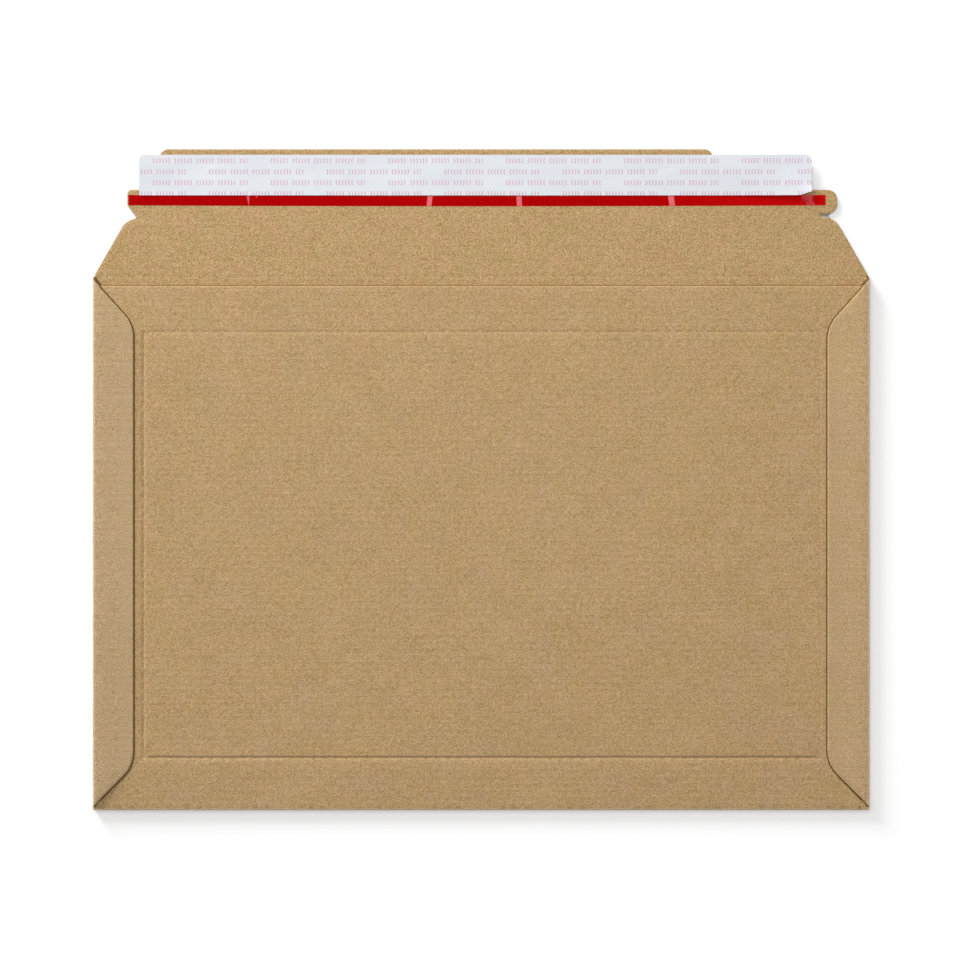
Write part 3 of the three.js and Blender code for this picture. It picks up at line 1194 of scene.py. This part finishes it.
@dataclass(frozen=True)
class FlapSizes:
    """Closing flap: heights above the crease, insets from the pocket's side edges."""

    shoulder_inset: float = 16.7
    shoulder_radius: float = 9.0
    slit: float = 29.0
    tab_inset: float = 15.4
    tab_slit_depth: float = 8.3
    tab_slit_gap: float = 1.8
    tab_radius: float = 4.6
    tab_height: float = 11.5
    ear_inset: float = 16.5
    ear_depth: float = 4.2
    ear_gap: float = 1.2
    ear_cut: float = 5.2
    ear_radius: float = 2.4
    shelf_radius: float = 2.2
    lip_left_inset: float = 32.2
    lip_right_inset: float = 75.6
    lip_radius: float = 4.0
    lip_root_radius: float = 5.0


@dataclass(frozen=True)
class MailerBoard:
    """The whole scored blank, folded into the pocket and running on into the closing flap.

    Attributes:
        sizes: The frame's sizes.
        side: Sizes of the side flaps.
        panel: Sizes of the near panel.
        flap: Sizes of the closing flap.
        flute_pitch: Distance between two flutes.
        bend_before: How far before the crease the finely meshed band for the flap's bend starts.
        bend_after: How far past the crease that band ends.
        side_square: Power that squares off the side folds; 1 leaves them round.
        bottom_square: The same for the bottom fold.
    """

    sizes: FrameSizes
    side: SideFlapSizes = SideFlapSizes()
    panel: PanelSizes = PanelSizes()
    flap: FlapSizes = FlapSizes()
    flute_pitch: float = 3.25
    bend_before: float = 0.02
    bend_after: float = 1.98
    side_square: float = 0.4
    bottom_square: float = 0.45

    @property
    def side_radius(self) -> float:
        """Outer radius of the side folds."""
        return self.sizes.top_z / 2.0

    @property
    def bottom_radius(self) -> float:
        """Outer radius of the bottom fold."""
        return self.sizes.board + self.panel.gap / 2.0

    @property
    def side_line(self) -> float:
        """Where the side folds start, across the blank."""
        return self.sizes.half_width - self.side_radius

    @property
    def bottom_line(self) -> float:
        """Where the bottom fold starts, along the blank."""
        return self.sizes.bottom_y + self.bottom_radius

    @property
    def side_length(self) -> float:
        """Length of board in a side fold."""
        return math.pi * (self.side_radius - self.sizes.board / 2.0)

    @property
    def bottom_length(self) -> float:
        """Length of board in the bottom fold."""
        return math.pi * (self.bottom_radius - self.sizes.board / 2.0)

    @property
    def panel_half(self) -> float:
        """Half the near panel's width."""
        return self.side_line - self.panel.side_gap

    @property
    def throat_y(self) -> float:
        """Cut edge of the near panel, as folded."""
        return self.sizes.crease_y - self.panel.throat_setback

    def unfolded(self, y: float) -> float:
        """Blank coordinate of a height on the near panel."""
        return self.bottom_line - self.bottom_length - (y - self.bottom_line)

    def folded(self, s: Array, w: Array, n: Array) -> Array:
        """Fold the blank: where the point (s, w) at depth n below the outer face goes.

        A side fold of radius r = R - n turns by a = pi (|s| - s0) / L, so that
        x = s0 + r sin(a)^q and z = R - r cos(a)^q, where q under 1 squares the bend off, and
        past it the flap runs back inwards. The bottom fold does the same along w. The side
        fold is drawn in a little, unevenly.

        Args:
            s: Across the blank.
            w: Along the blank.
            n: Depth from the outer face.

        Returns:
            x, y and z, one row a point.
        """
        past = np.abs(s) - self.side_line
        beside = (past > 0.0) & (w > self.bottom_line - 0.01) & (w < self.sizes.crease_y)
        turn = np.clip(past / self.side_length, 0.0, 1.0) * math.pi
        radius = self.side_radius - n
        reach, rise = squared_turn(turn, self.side_square)
        side_x = self.side_line + (radius - self._drawn_in(s, w)) * reach
        side_x = side_x - np.maximum(past - self.side_length, 0.0)
        side_z = self.side_radius - radius * rise

        below = self.bottom_line - w
        roll = np.clip(below / self.bottom_length, 0.0, 1.0) * math.pi
        radius = self.bottom_radius - n
        reach, rise = squared_turn(roll, self.bottom_square)
        bottom_y = self.bottom_line - radius * reach
        bottom_y = bottom_y + np.maximum(below - self.bottom_length, 0.0)
        bottom_z = self.bottom_radius - radius * rise

        sag = self._sag(w) * smoothstep(past / 1.2)
        under = below > 0.0
        x = np.where(beside, np.sign(s) * side_x, s)
        y = np.where(beside, w - sag, np.where(under, bottom_y, w))
        z = np.where(beside, side_z, np.where(under, bottom_z, n))
        return np.column_stack([x, y, z])

    def _sag(self, w: Array) -> Array:
        """How far a side flap is pulled down to the corner: most at the bottom fold."""
        sunk = self.bottom_radius - self.side.start
        return sunk * np.exp(-(((w - self.bottom_line) / 6.0) ** 2))

    def _drawn_in(self, s: Array, w: Array) -> Array:
        """How far the side fold is drawn in: a slow wave, and small scallops two to a flute.

        Args:
            s: Across the blank.
            w: Along the blank.

        Returns:
            The distance at each point.
        """
        phase = np.where(s > 0.0, 1.9, 0.4)
        slow = 0.06 * (1.0 + np.sin(TAU * w / 83.0 + phase) * np.sin(TAU * w / 31.0 + 2.0 * phase))
        scallop = 0.1 * (1.0 - np.cos(2.0 * TAU * w / self.flute_pitch))
        return slow + np.where(s > 0.0, 0.4, 1.0) * scallop

    def side_plan(self, width: float) -> Array:
        """Side flap seen from above, from its lower end on the fold round to its upper end.

        Args:
            width: From the pocket's side edge to the flap's cut edge.

        Returns:
            The run's points in x and y, as for the right side.
        """
        edge, inner = self.sizes.half_width, self.sizes.half_width - width
        low = self.sizes.bottom_y + self.side.start
        high = self.sizes.crease_y - self.side.relief
        rise = width * math.tan(math.radians(self.side.bottom_mitre_deg))
        drop = width * math.tan(math.radians(self.side.top_mitre_deg))
        outline = rounded([
            (edge, low),
            (inner, low + rise, self.side.radius),
            (inner, high - drop, self.side.radius),
            (edge, high),
            (edge + 5.0, (low + high) / 2.0),
        ])
        return resampled(outline[:-1], 0.5, closed=False)

    def side_run(self, width: float) -> Array:
        """The same run on the blank: x past the fold becomes a length along the board.

        The pull towards the corner is taken off by w = y + sag(w), found in a few rounds. On the
        fold the lower end stands back as far as the flat leg's face leans back.

        Args:
            width: From the pocket's side edge to the flap's cut edge.

        Returns:
            The run's points in s and w.
        """
        x, y = self.side_plan(width).T
        along = y
        for _ in range(8):
            along = y + self._sag(along)
        in_fold = np.clip((x - self.side_line) / self.side_radius, 0.0, 1.0)
        quarter = np.arcsin(in_fold ** (1.0 / self.side_square)) / math.pi
        turned = self.side_line + self.side_length * (1.0 - quarter)
        flat = self.side_line + self.side_length + self.side_line - x
        across = np.where(x > self.side_line, turned, flat)
        lower = y < 0.0
        along = along + np.where(lower, 1.4 * self.panel.flap_lean * (1.0 - self._on_leg(across)),
                                 0.0)
        run = np.column_stack([across, along])
        step = np.linspace(0.0, 0.5, 6)[:, None] * [self.side_length, 0.0]
        start = np.array([self.side_line, run[0, 1]]) + step[:-1]
        end = np.array([self.side_line, run[-1, 1]]) + step[:-1][::-1]
        return np.vstack([start, run, end])

    def flap_run(self) -> Array:
        """Closing flap's outline on the blank, from its right shoulder tip round to its left one.

        Returns:
            The run's points in s and w.
        """
        size, half, base = self.flap, self.sizes.half_width, self.sizes.crease_y
        slit, slit_top = base + size.slit, base + size.slit + size.tab_slit_gap
        shelf, tip = slit_top + size.tab_height, self.sizes.tip_y
        tab = half - size.tab_inset
        ear = -(half - size.ear_inset)
        ear_low, ear_high = slit - size.ear_gap / 2.0, slit + size.ear_gap / 2.0
        lean = size.shoulder_inset / size.slit
        lip_left, lip_right = -(half - size.lip_left_inset), half - size.lip_right_inset
        corners = [
            (half, base),
            (half - size.shoulder_inset, slit, size.shoulder_radius),
            (tab - size.tab_slit_depth, slit),
            (tab - size.tab_slit_depth, slit_top),
            (tab, slit_top, size.tab_radius),
            (tab, shelf, size.tab_radius),
            (lip_right, shelf, size.lip_root_radius),
            (lip_right, tip, size.lip_radius),
            (lip_left, tip, size.lip_radius),
            (lip_left, shelf, size.lip_root_radius),
            (ear, shelf, size.shelf_radius),
            (ear, ear_high + size.ear_cut, size.ear_radius),
            (ear + size.ear_depth, ear_high, size.ear_gap / 2.5),
            (ear + size.ear_depth, ear_low, size.ear_gap / 2.05),
            (lean * (ear_low - base) - half, ear_low, size.shoulder_radius),
            (-half, base),
        ]
        return rounded(corners)

    def outline(self) -> Array:
        """The blank's closed outline, anticlockwise from the near panel's left throat corner.

        Returns:
            The outline's points in s and w.
        """
        throat = self.unfolded(self.throat_y)
        right = self.side_run(self.side.right_width)
        left = self.side_run(self.side.left_width)[::-1] * [-1.0, 1.0]
        crease_edge = np.array([[self.side_line, self.sizes.crease_y]])
        fold_end = self.bottom_line - self.bottom_length
        wide = self.sizes.half_width - 0.1
        corner = np.array([
            (self.panel_half, fold_end - 3.2), (wide, fold_end - 0.2),
            (wide, self.bottom_line - 0.15), (self.side_line, self.bottom_line - 0.15),
        ])
        runs = [
            np.array([[-self.panel_half, throat], [self.panel_half, throat]]),
            corner,
            right,
            crease_edge,
            self.flap_run(),
            crease_edge * [-1.0, 1.0],
            left,
            corner[::-1] * [-1.0, 1.0],
        ]
        return resampled(np.vstack(runs), 2.2)

    def score_lines(self) -> list[tuple[Array, Array, float]]:
        """Ends of the near panel's pressed scores, on the blank, and how deep each is.

        Returns:
            Two points and a depth for each score: top, bottom, then left and right with their
            diagonals.
        """
        left = self.panel.score_left - self.sizes.half_width
        right = self.sizes.half_width - self.panel.score_right
        top = self.unfolded(self.sizes.crease_y - self.panel.score_top)
        bottom = self.unfolded(self.sizes.bottom_y + self.panel.score_bottom)
        fold = self.bottom_line - self.bottom_length
        pairs = [((left, top), (right, top)), ((left, bottom), (right, bottom))]
        for x, end in ((left, -self.panel_half), (right, self.panel_half)):
            pairs.append(((x, top), (x, bottom)))
            pairs.append(((x, bottom), (end, fold)))
        depths = self.panel.score_depths
        return [(np.array(a), np.array(b), depth) for (a, b), depth in zip(pairs, depths)]

    def score_distance(self, s: Array, w: Array, start: Array, end: Array) -> tuple[Array, Array]:
        """Measure from one score, past whose ends the distance is taken from the end.

        Args:
            s: Across the blank.
            w: Along the blank.
            start: One end of the score.
            end: Its other end.

        Returns:
            The distance, and the signed one that is positive on the lower and right side.
        """
        run = end - start
        offset = np.column_stack([s, w]) - start
        share = np.clip(offset @ run / (run @ run), 0.0, 1.0)
        across = np.array([-run[1], run[0]]) / np.linalg.norm(run)
        across = across if across[1] - across[0] < 0.0 else -across
        return np.linalg.norm(offset - share[:, None] * run, axis=1), -(offset @ across)

    def inside_points(self) -> Array:
        """Points that the board's faces pass through: close-set at folds, scores and edges.

        Returns:
            The points in s and w.
        """
        size = self.sizes
        throat = self.unfolded(self.throat_y)
        reach = self.side_line + self.side_length + self.side.right_width
        wide = lattice((-reach, throat), (reach, size.tip_y), (5.5, 5.5))
        clear_of_bend = np.abs(wide[:, 1] - size.crease_y - 1.0) > 3.2
        rim = resampled(self.outline(), 1.0)
        sets = [wide[clear_of_bend], self._score_points(), self._fold_points(),
                self._crease_points()]
        sets.extend([rim + inset * inward(rim) for inset in (0.3, 0.75, 1.3)])
        return np.unique(np.round(np.vstack(sets), 4), axis=0)

    def _score_points(self) -> Array:
        """Rows of points along both sides of each pressed score."""
        offsets = np.array([-2.0, -1.2, -0.8, -0.45, -0.15, 0.15, 0.45, 0.8, 1.2, 2.0])
        sets = []
        for start, end, _ in self.score_lines():
            run = end - start
            count = max(2, math.ceil(float(np.linalg.norm(run)) / 2.6))
            along = start + np.linspace(0.0, 1.0, count + 1)[:, None] * run
            side = np.array([-run[1], run[0]]) / np.linalg.norm(run)
            sets.append((along[:, None] + offsets[None, :, None] * side).reshape(-1, 2))
        return np.vstack(sets)

    def _fold_points(self) -> Array:
        """Lattices over the two side folds and the bottom fold, twelve steps round each."""
        sets = []
        for side in (-1.0, 1.0):
            ends = sorted((side * self.side_line, side * (self.side_line + self.side_length)))
            sets.append(lattice((ends[0], self.bottom_line), (ends[1], self.sizes.crease_y),
                                (self.side_length / 12.0, 0.8)))
        sets.append(lattice((-self.panel_half, self.bottom_line - self.bottom_length),
                            (self.panel_half, self.bottom_line),
                            (3.0, self.bottom_length / 12.0)))
        return np.vstack(sets)

    def _crease_points(self) -> Array:
        """Even columns across the crease: fine rows over the band for its bend, wider ones beside
        it.
        """
        half, crease = self.sizes.half_width, self.sizes.crease_y
        return np.vstack([
            lattice((-half, crease + low), (half, crease + high), (0.8, row))
            for low, high, row in (
                (-self.bend_before, self.bend_after, 0.125), (-1.72, -0.52, 0.6), (2.48, 3.68, 0.6),
            )
        ])

    def outer_depth(self, s: Array, w: Array, edge: Array) -> Array:
        """Depth of the outer face: pressed scores, crushed cut edges and flattened side flaps.

        A score is depth * exp(-(distance / spread)^2) deep, with a wider spread on the side that
        looks to the upper left.

        Args:
            s: Across the blank.
            w: Along the blank.
            edge: Distance from the cut edge.

        Returns:
            The depth at each point.
        """
        pressed = np.zeros_like(s)
        for start, end, depth in self.score_lines():
            away, side = self.score_distance(s, w, start, end)
            spread = self.panel.score_spread * np.where(side > 0.0, self.panel.score_slope, 1.0)
            pressed = np.maximum(pressed, depth * np.exp(-((away / spread) ** 2)))
        on_panel = w < self.bottom_line - 0.98 * self.bottom_length
        crushed = np.where(self.shows_cut(s, w), 0.22 * (1.0 - smoothstep(edge / 0.9)), 0.0)
        leg = np.abs(s) - self.side_line - 0.9 * self.side_length
        on_flap = (w > self.bottom_line - 0.01) & (w < self.sizes.crease_y)
        flattened = np.where(on_flap, self.side.thinning * smoothstep(leg / 15.0), 0.0)
        return np.where(on_panel, pressed, 0.0) + crushed + flattened

    def shows_cut(self, s: Array, w: Array) -> Array:
        """Where a cut edge is seen from above: along the throat and round the side flaps.

        Args:
            s: Across the blank.
            w: Along the blank.

        Returns:
            True where it is.
        """
        on_side_flap = np.abs(s) > self.side_line + 0.6 * self.side_length
        throat = self.unfolded(self.throat_y)
        return (w < throat + 3.0) | (on_side_flap & (w > self.bottom_line - 0.01)
                                     & (w < self.sizes.crease_y))

    def _on_leg(self, s: Array) -> Array:
        """0 on a side fold, easing to 1 on the flat leg of the side flap."""
        return smoothstep((np.abs(s) - self.side_line - self.side_length) / 2.0)

    def cut_lean(self, s: Array, w: Array, edge: Array) -> Array:
        """How far the outer face stands back from a cut edge that is seen from above.

        It reaches out past the edge in the thumb tab's slit, whose sides slope to close it and
        carry a painted shadow of the table beneath.

        Args:
            s: Across the blank.
            w: Along the blank.
            edge: Distance from the cut edge.

        Returns:
            The distance at each point.
        """
        back = np.where(w < self.bottom_line, self.panel.throat_lean,
                        self.panel.flap_lean * self._on_leg(s))
        size = self.flap
        middle = self.sizes.crease_y + size.slit + size.tab_slit_gap / 2.0
        tab = self.sizes.half_width - size.tab_inset
        in_slit = (np.abs(w - middle) < 2.8) & (s > tab - size.tab_slit_depth - 2.0)
        slope = np.where(in_slit, -0.98 * smoothstep((tab - 2.6 - s) / 1.6), 0.0)
        return np.where(self.shows_cut(s, w), back, slope) * (1.0 - smoothstep(edge / 1.9))

    def inner_depth(self, s: Array, w: Array, edge: Array) -> Array:
        """Depth of the inner face: full thickness, less the crease's groove and crushed edges.

        The crease's groove is 0.05 exp(-(d / 0.8)^2).

        Args:
            s: Across the blank; not used.
            w: Along the blank.
            edge: Distance from the cut edge.

        Returns:
            The depth at each point.
        """
        away = (w - self.sizes.crease_y - 0.3) / 0.8
        groove = 0.05 * np.exp(-(away**2))
        on_flap = w > self.sizes.crease_y - 2.0
        crushed = 0.14 * (1.0 - smoothstep(edge / 0.9))
        return self.sizes.board - np.where(on_flap, groove + crushed, 0.0)

    def build(self) -> bpy.types.Object:
        """Build the board and dress its two faces and its edges.

        Returns:
            The board.
        """
        outside = KraftPaper("kraft_outside", Liner.OUTSIDE, (180, 149, 106), 0.29, 0.022,
                             self.flute_pitch, 0.011)
        inside = KraftPaper("kraft_inside", Liner.INSIDE, (180, 149, 103), 0.36, 0.024,
                            self.flute_pitch, 0.005)
        plate = Plate(self.outline(), self.inside_points())
        board = plate.built(
            "mailer_board", self.folded, self.outer_depth, self.inner_depth,
            [finish.made(self.sizes) for finish in (outside, inside, FlutedEdge())],
            self.flute_pitch, wall_rows=4, lean=self.cut_lean,
        )
        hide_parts("mailer_pocket", "closure_flap")
        crease = self.sizes.crease_y * MM
        crease - self.bend_before * MM
        crease + self.bend_after * MM
        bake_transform(board)
        LOG.info("%s: %d faces", board.name, len(board.data.polygons))
        return board


# The closing flap's strips


@dataclass(frozen=True)
class TearStrip:
    """Red film along the flap, slightly bowed, with its ends cut by a toothed blade.

    Attributes:
        sizes: The frame's sizes.
        teeth: Teeth across an end.
        depth: Depth of a tooth.
        bow: How far the middle lies below the ends.
        longer_left: How far it is stretched at its left end.
        longer_right: The same at its right end.
    """

    sizes: FrameSizes
    teeth: int = 3
    depth: float = 0.6
    bow: float = 0.45
    longer_left: float = 0.4
    longer_right: float = 0.8

    def placed(self, s: Array, w: Array, n: Array) -> Array:
        """Bow the strip: y = w - bow (0.5 - (s / half length)^2), stretch it and lay it down.

        Args:
            s: Along the strip.
            w: Across it.
            n: Height above its underside.

        Returns:
            x, y and z, one row a point.
        """
        half = float(self.sizes.strip_high[0] - self.sizes.strip_low[0]) / 2.0
        middle = float(self.sizes.strip_high[0] + self.sizes.strip_low[0]) / 2.0
        drop = self.bow * (0.5 - ((s - middle) / half) ** 2)
        x = s + np.where(s > middle, self.longer_right, -self.longer_left) * np.abs(
            (s - middle) / half
        )
        return np.column_stack([x, w - drop, float(self.sizes.strip_low[2]) + n])

    def build(self) -> bpy.types.Object:
        """Build the strip.

        Returns:
            The strip.
        """
        low, high = self.sizes.strip_low, self.sizes.strip_high
        thickness = float(high[2] - low[2])
        bottom, top = float(low[1]), float(high[1])
        right = zigzag(float(high[0]), bottom, top, self.teeth, self.depth, 1.0)
        left = zigzag(float(low[0]), bottom, top, self.teeth, self.depth, -1.0)[::-1]
        outline = resampled(np.vstack([right, left]), 2.0)
        plate = Plate(outline, lattice(low[:2], high[:2], (2.0, 0.5)), clearance=0.12)
        film = TearFilm().made(self.sizes)

        def top_face(s: Array, w: Array, edge: Array) -> Array:
            """Top of the film: rounded off at its edges, with a shallow ripple."""
            ripple = 0.008 * np.sin(TAU * s / 47.0) * np.sin(TAU * w / 2.6 + s / 60.0)
            return thickness - 0.012 + ripple - 0.04 * (1.0 - smoothstep(edge / 0.25))

        def under_face(s: Array, w: Array, edge: Array) -> Array:
            """Underside of the film, flat on the board."""
            return np.zeros_like(s) + 0.002

        strip = plate.built("tear_tape", self.placed, under_face, top_face,
                            [film, film, film], 3.0)
        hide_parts("tear_strip")
        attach(strip, "flap")
        LOG.info("%s: %d faces", strip.name, len(strip.data.polygons))
        return strip


@dataclass(frozen=True)
class ReleaseLiner:
    """White paper strip over the adhesive, free at both ends where the lip stops.

    Attributes:
        sizes: The frame's sizes.
        teeth: Teeth across its right end.
        depth: Depth of a tooth.
        radius: Radius of its rounded upper corners.
        lift_right: How far its right end has curled up.
        lift_left: How far its left end has curled up.
        held_left: Left end of the stretch that the adhesive holds.
        held_right: Right end of it.
        set_low: How far the strip has been laid towards the crease.
    """

    sizes: FrameSizes
    teeth: int = 12
    depth: float = 0.55
    radius: float = 2.6
    lift_right: float = 1.8
    lift_left: float = 0.35
    held_left: float = -152.0
    held_right: float = 110.0
    set_low: float = 0.3

    def placed(self, s: Array, w: Array, n: Array) -> Array:
        """Curl the free ends: each rises by lift * ((s - held) / free length)^2.

        Args:
            s: Along the strip.
            w: Across it.
            n: Height above its underside.

        Returns:
            x, y and z, one row a point.
        """
        low, high = self.sizes.liner_low, self.sizes.liner_high
        right = np.maximum(s - self.held_right, 0.0) / (float(high[0]) - self.held_right)
        left = np.maximum(self.held_left - s, 0.0) / (self.held_left - float(low[0]))
        across = (w - float(low[1])) / float(high[1] - low[1])
        curl = self.lift_right * right**2 * (1.0 - 0.25 * across)
        curl = curl + self.lift_left * left**2
        corner = 0.5 * smoothstep((s - float(high[0]) + 6.5) / 6.5) * smoothstep(
            (float(low[1]) + 6.0 - w) / 6.0
        )
        ripple = 0.02 * (1.0 + np.sin(s / 9.0) * np.sin(w / 3.1 + s / 40.0))
        y = w + 3.2 * corner - self.set_low
        return np.column_stack([s, y, float(low[2]) + curl + corner + ripple + n])

    def build(self) -> bpy.types.Object:
        """Build the liner.

        Returns:
            The liner.
        """
        low, high = self.sizes.liner_low, self.sizes.liner_high
        thickness = float(high[2] - low[2])
        bottom, top = float(low[1]), float(high[1])
        right = zigzag(float(high[0]), bottom, top - self.radius, self.teeth, self.depth, 1.0)
        rounding = rounded([
            (float(high[0]) - self.depth, top - self.radius - 1.0),
            (float(high[0]) - self.depth, top, self.radius),
            (float(low[0]), top, self.radius),
            (float(low[0]), bottom),
        ])[1:]
        outline = resampled(np.vstack([right, rounding]), 1.6)
        plate = Plate(outline, lattice(low[:2], high[:2], (2.4, 1.4)), clearance=0.2)
        paper = LinerPaper().made()

        def top_face(s: Array, w: Array, edge: Array) -> Array:
            """Top of the paper, at its full thickness."""
            return np.full_like(s, thickness)

        def under_face(s: Array, w: Array, edge: Array) -> Array:
            """Underside of the paper."""
            return np.zeros_like(s)

        liner = plate.built("release_liner_paper", self.placed, under_face, top_face,
                            [paper, paper, paper], 3.0)
        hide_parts("release_liner")
        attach(liner, "flap")
        LOG.info("%s: %d faces", liner.name, len(liner.data.polygons))
        return liner


def dress_hidden_glue(nodes: dict[str, bpy.types.Object]) -> None:
    """Give the frame's own glue and adhesive solids their finishes.

    Args:
        nodes: The frame's nodes by name.
    """
    glue = Adhesive("side_glue", (212, 200, 160), 0.4, 2.2).made()
    band = Adhesive("lip_adhesive", (226, 221, 205), 0.22, 3.4).made()
    for name, finish in (("side_glue_left", glue), ("side_glue_right", glue),
                         ("adhesive_strip", band)):
        nodes[name].data.materials.clear()
        nodes[name].data.materials.append(finish)
        LOG.info("%s: %s", name, finish.name)


# The studio


@dataclass(frozen=True)
class Studio:
    """White table, soft light from the upper left and a camera straight above.

    Attributes:
        frame_width: Width of the picture on the table.
        centre: Where the camera looks.
        focal: Focal length.
        lamps: Name, place and side in metres, and power of each square lamp.
        sky: Strength of the light from all round.
        table_colour: How much light the table gives back.
        table_glow: What the table adds for the camera alone, so that it shows white.
        glow_rise: How much more it adds for each metre towards the picture's lower edge.
        glow_right: The same towards its right edge.
        table_half: Half the table's side, in metres.
        table_gap: How far it lies under the board, in metres.
        sensor: Width of the camera's sensor.
    """

    frame_width: float = 463.8
    centre: tuple[float, float] = (-0.57, -0.25)
    focal: float = 100.0
    lamps: tuple[tuple[str, tuple[float, float, float], float, float], ...] = (
        ("key_lamp", (-1.9, 2.75, 1.0), 1.4, 155.0),
        ("overhead_lamp", (-0.06, 0.3, 0.9), 0.6, 3.93),
    )
    sky: float = 0.28
    table_colour: float = 0.8
    table_glow: float = 0.275
    glow_rise: float = 0.3
    glow_right: float = 0.12
    table_half: float = 3.0
    table_gap: float = 5e-5
    sensor: float = 36.0

    def build(self) -> None:
        """Build the camera, the lights, the world and the table."""
        self._camera()
        for name, place, size, power in self.lamps:
            self._lamp(name, place, size, power)
        self._world()
        self._table()

    def _camera(self) -> None:
        """Hang the camera so that the picture is frame_width wide on the board's face."""
        data = bpy.data.cameras.new("camera")
        data.lens, data.sensor_width = self.focal, self.sensor
        data.clip_start, data.clip_end = 0.01, 50.0
        camera = bpy.data.objects.new("camera", data)
        height = self.frame_width * self.focal / self.sensor + 2.0
        camera.location = (self.centre[0] * MM, self.centre[1] * MM, height * MM)
        bpy.context.scene.collection.objects.link(camera)
        bpy.context.scene.camera = camera

    def _lamp(self, name: str, place: Sequence[float], size: float, power: float) -> None:
        """Hang a square light turned to the table's middle.

        Args:
            name: The light's name.
            place: Where it hangs, in metres.
            size: Its side, in metres.
            power: Its power.
        """
        data = bpy.data.lights.new(name, "AREA")
        data.shape, data.size, data.energy = "SQUARE", size, power
        lamp = bpy.data.objects.new(name, data)
        lamp.location = place
        lamp.rotation_euler = (-Vector(place)).to_track_quat("-Z", "Y").to_euler()
        bpy.context.scene.collection.objects.link(lamp)

    def _world(self) -> None:
        """Light from all round, shown white to the camera and to gloss."""
        world = bpy.data.worlds.new("world")
        world.use_nodes = True
        bpy.context.scene.world = world
        graph = Graph(world.node_tree)
        light = self.sky + (1.0 - self.sky) * shown_white(graph)
        light = graph.node("Background", None, Color=light)
        graph.node("OutputWorld", None, Surface=light.outputs[0])

    def _table(self) -> None:
        """Lay a wide white table just under the board."""
        half, under = self.table_half, -self.table_gap
        mesh = bpy.data.meshes.new("table")
        corners = [(-half, -half, under), (half, -half, under), (half, half, under),
                   (-half, half, under)]
        mesh.from_pydata(corners, [], [(0, 1, 2, 3)])
        table = bpy.data.objects.new("table", mesh)
        bpy.context.scene.collection.objects.link(table)
        material, graph = new_material("table_white")
        shade = self.table_colour
        matt = graph.node("BsdfDiffuse", None, Color=(shade, shade, shade, 1.0))
        x, y, _ = graph.place()
        glow = self.table_glow - self.glow_rise * MM * y + self.glow_right * MM * x
        glow = graph.node("Emission", None, Color=shown_white(graph) * glow)
        both = graph.node("AddShader", None, i0=matt.outputs[0], i1=glow.outputs[0])
        graph.node("OutputMaterial", None, Surface=both.outputs[0])
        mesh.materials.append(material)


def main() -> None:
    """Load the frame and build every piece."""
    logging.basicConfig(level=logging.INFO, format="%(name)s: %(message)s")
    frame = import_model()
    bpy.context.scene.view_settings.view_transform = "Standard"
    sizes = FrameSizes.measured()
    Studio().build()
    MailerBoard(sizes).build()
    TearStrip(sizes).build()
    ReleaseLiner(sizes).build()
    dress_hidden_glue(frame["nodes"])


if __name__ == "__main__":
    main()
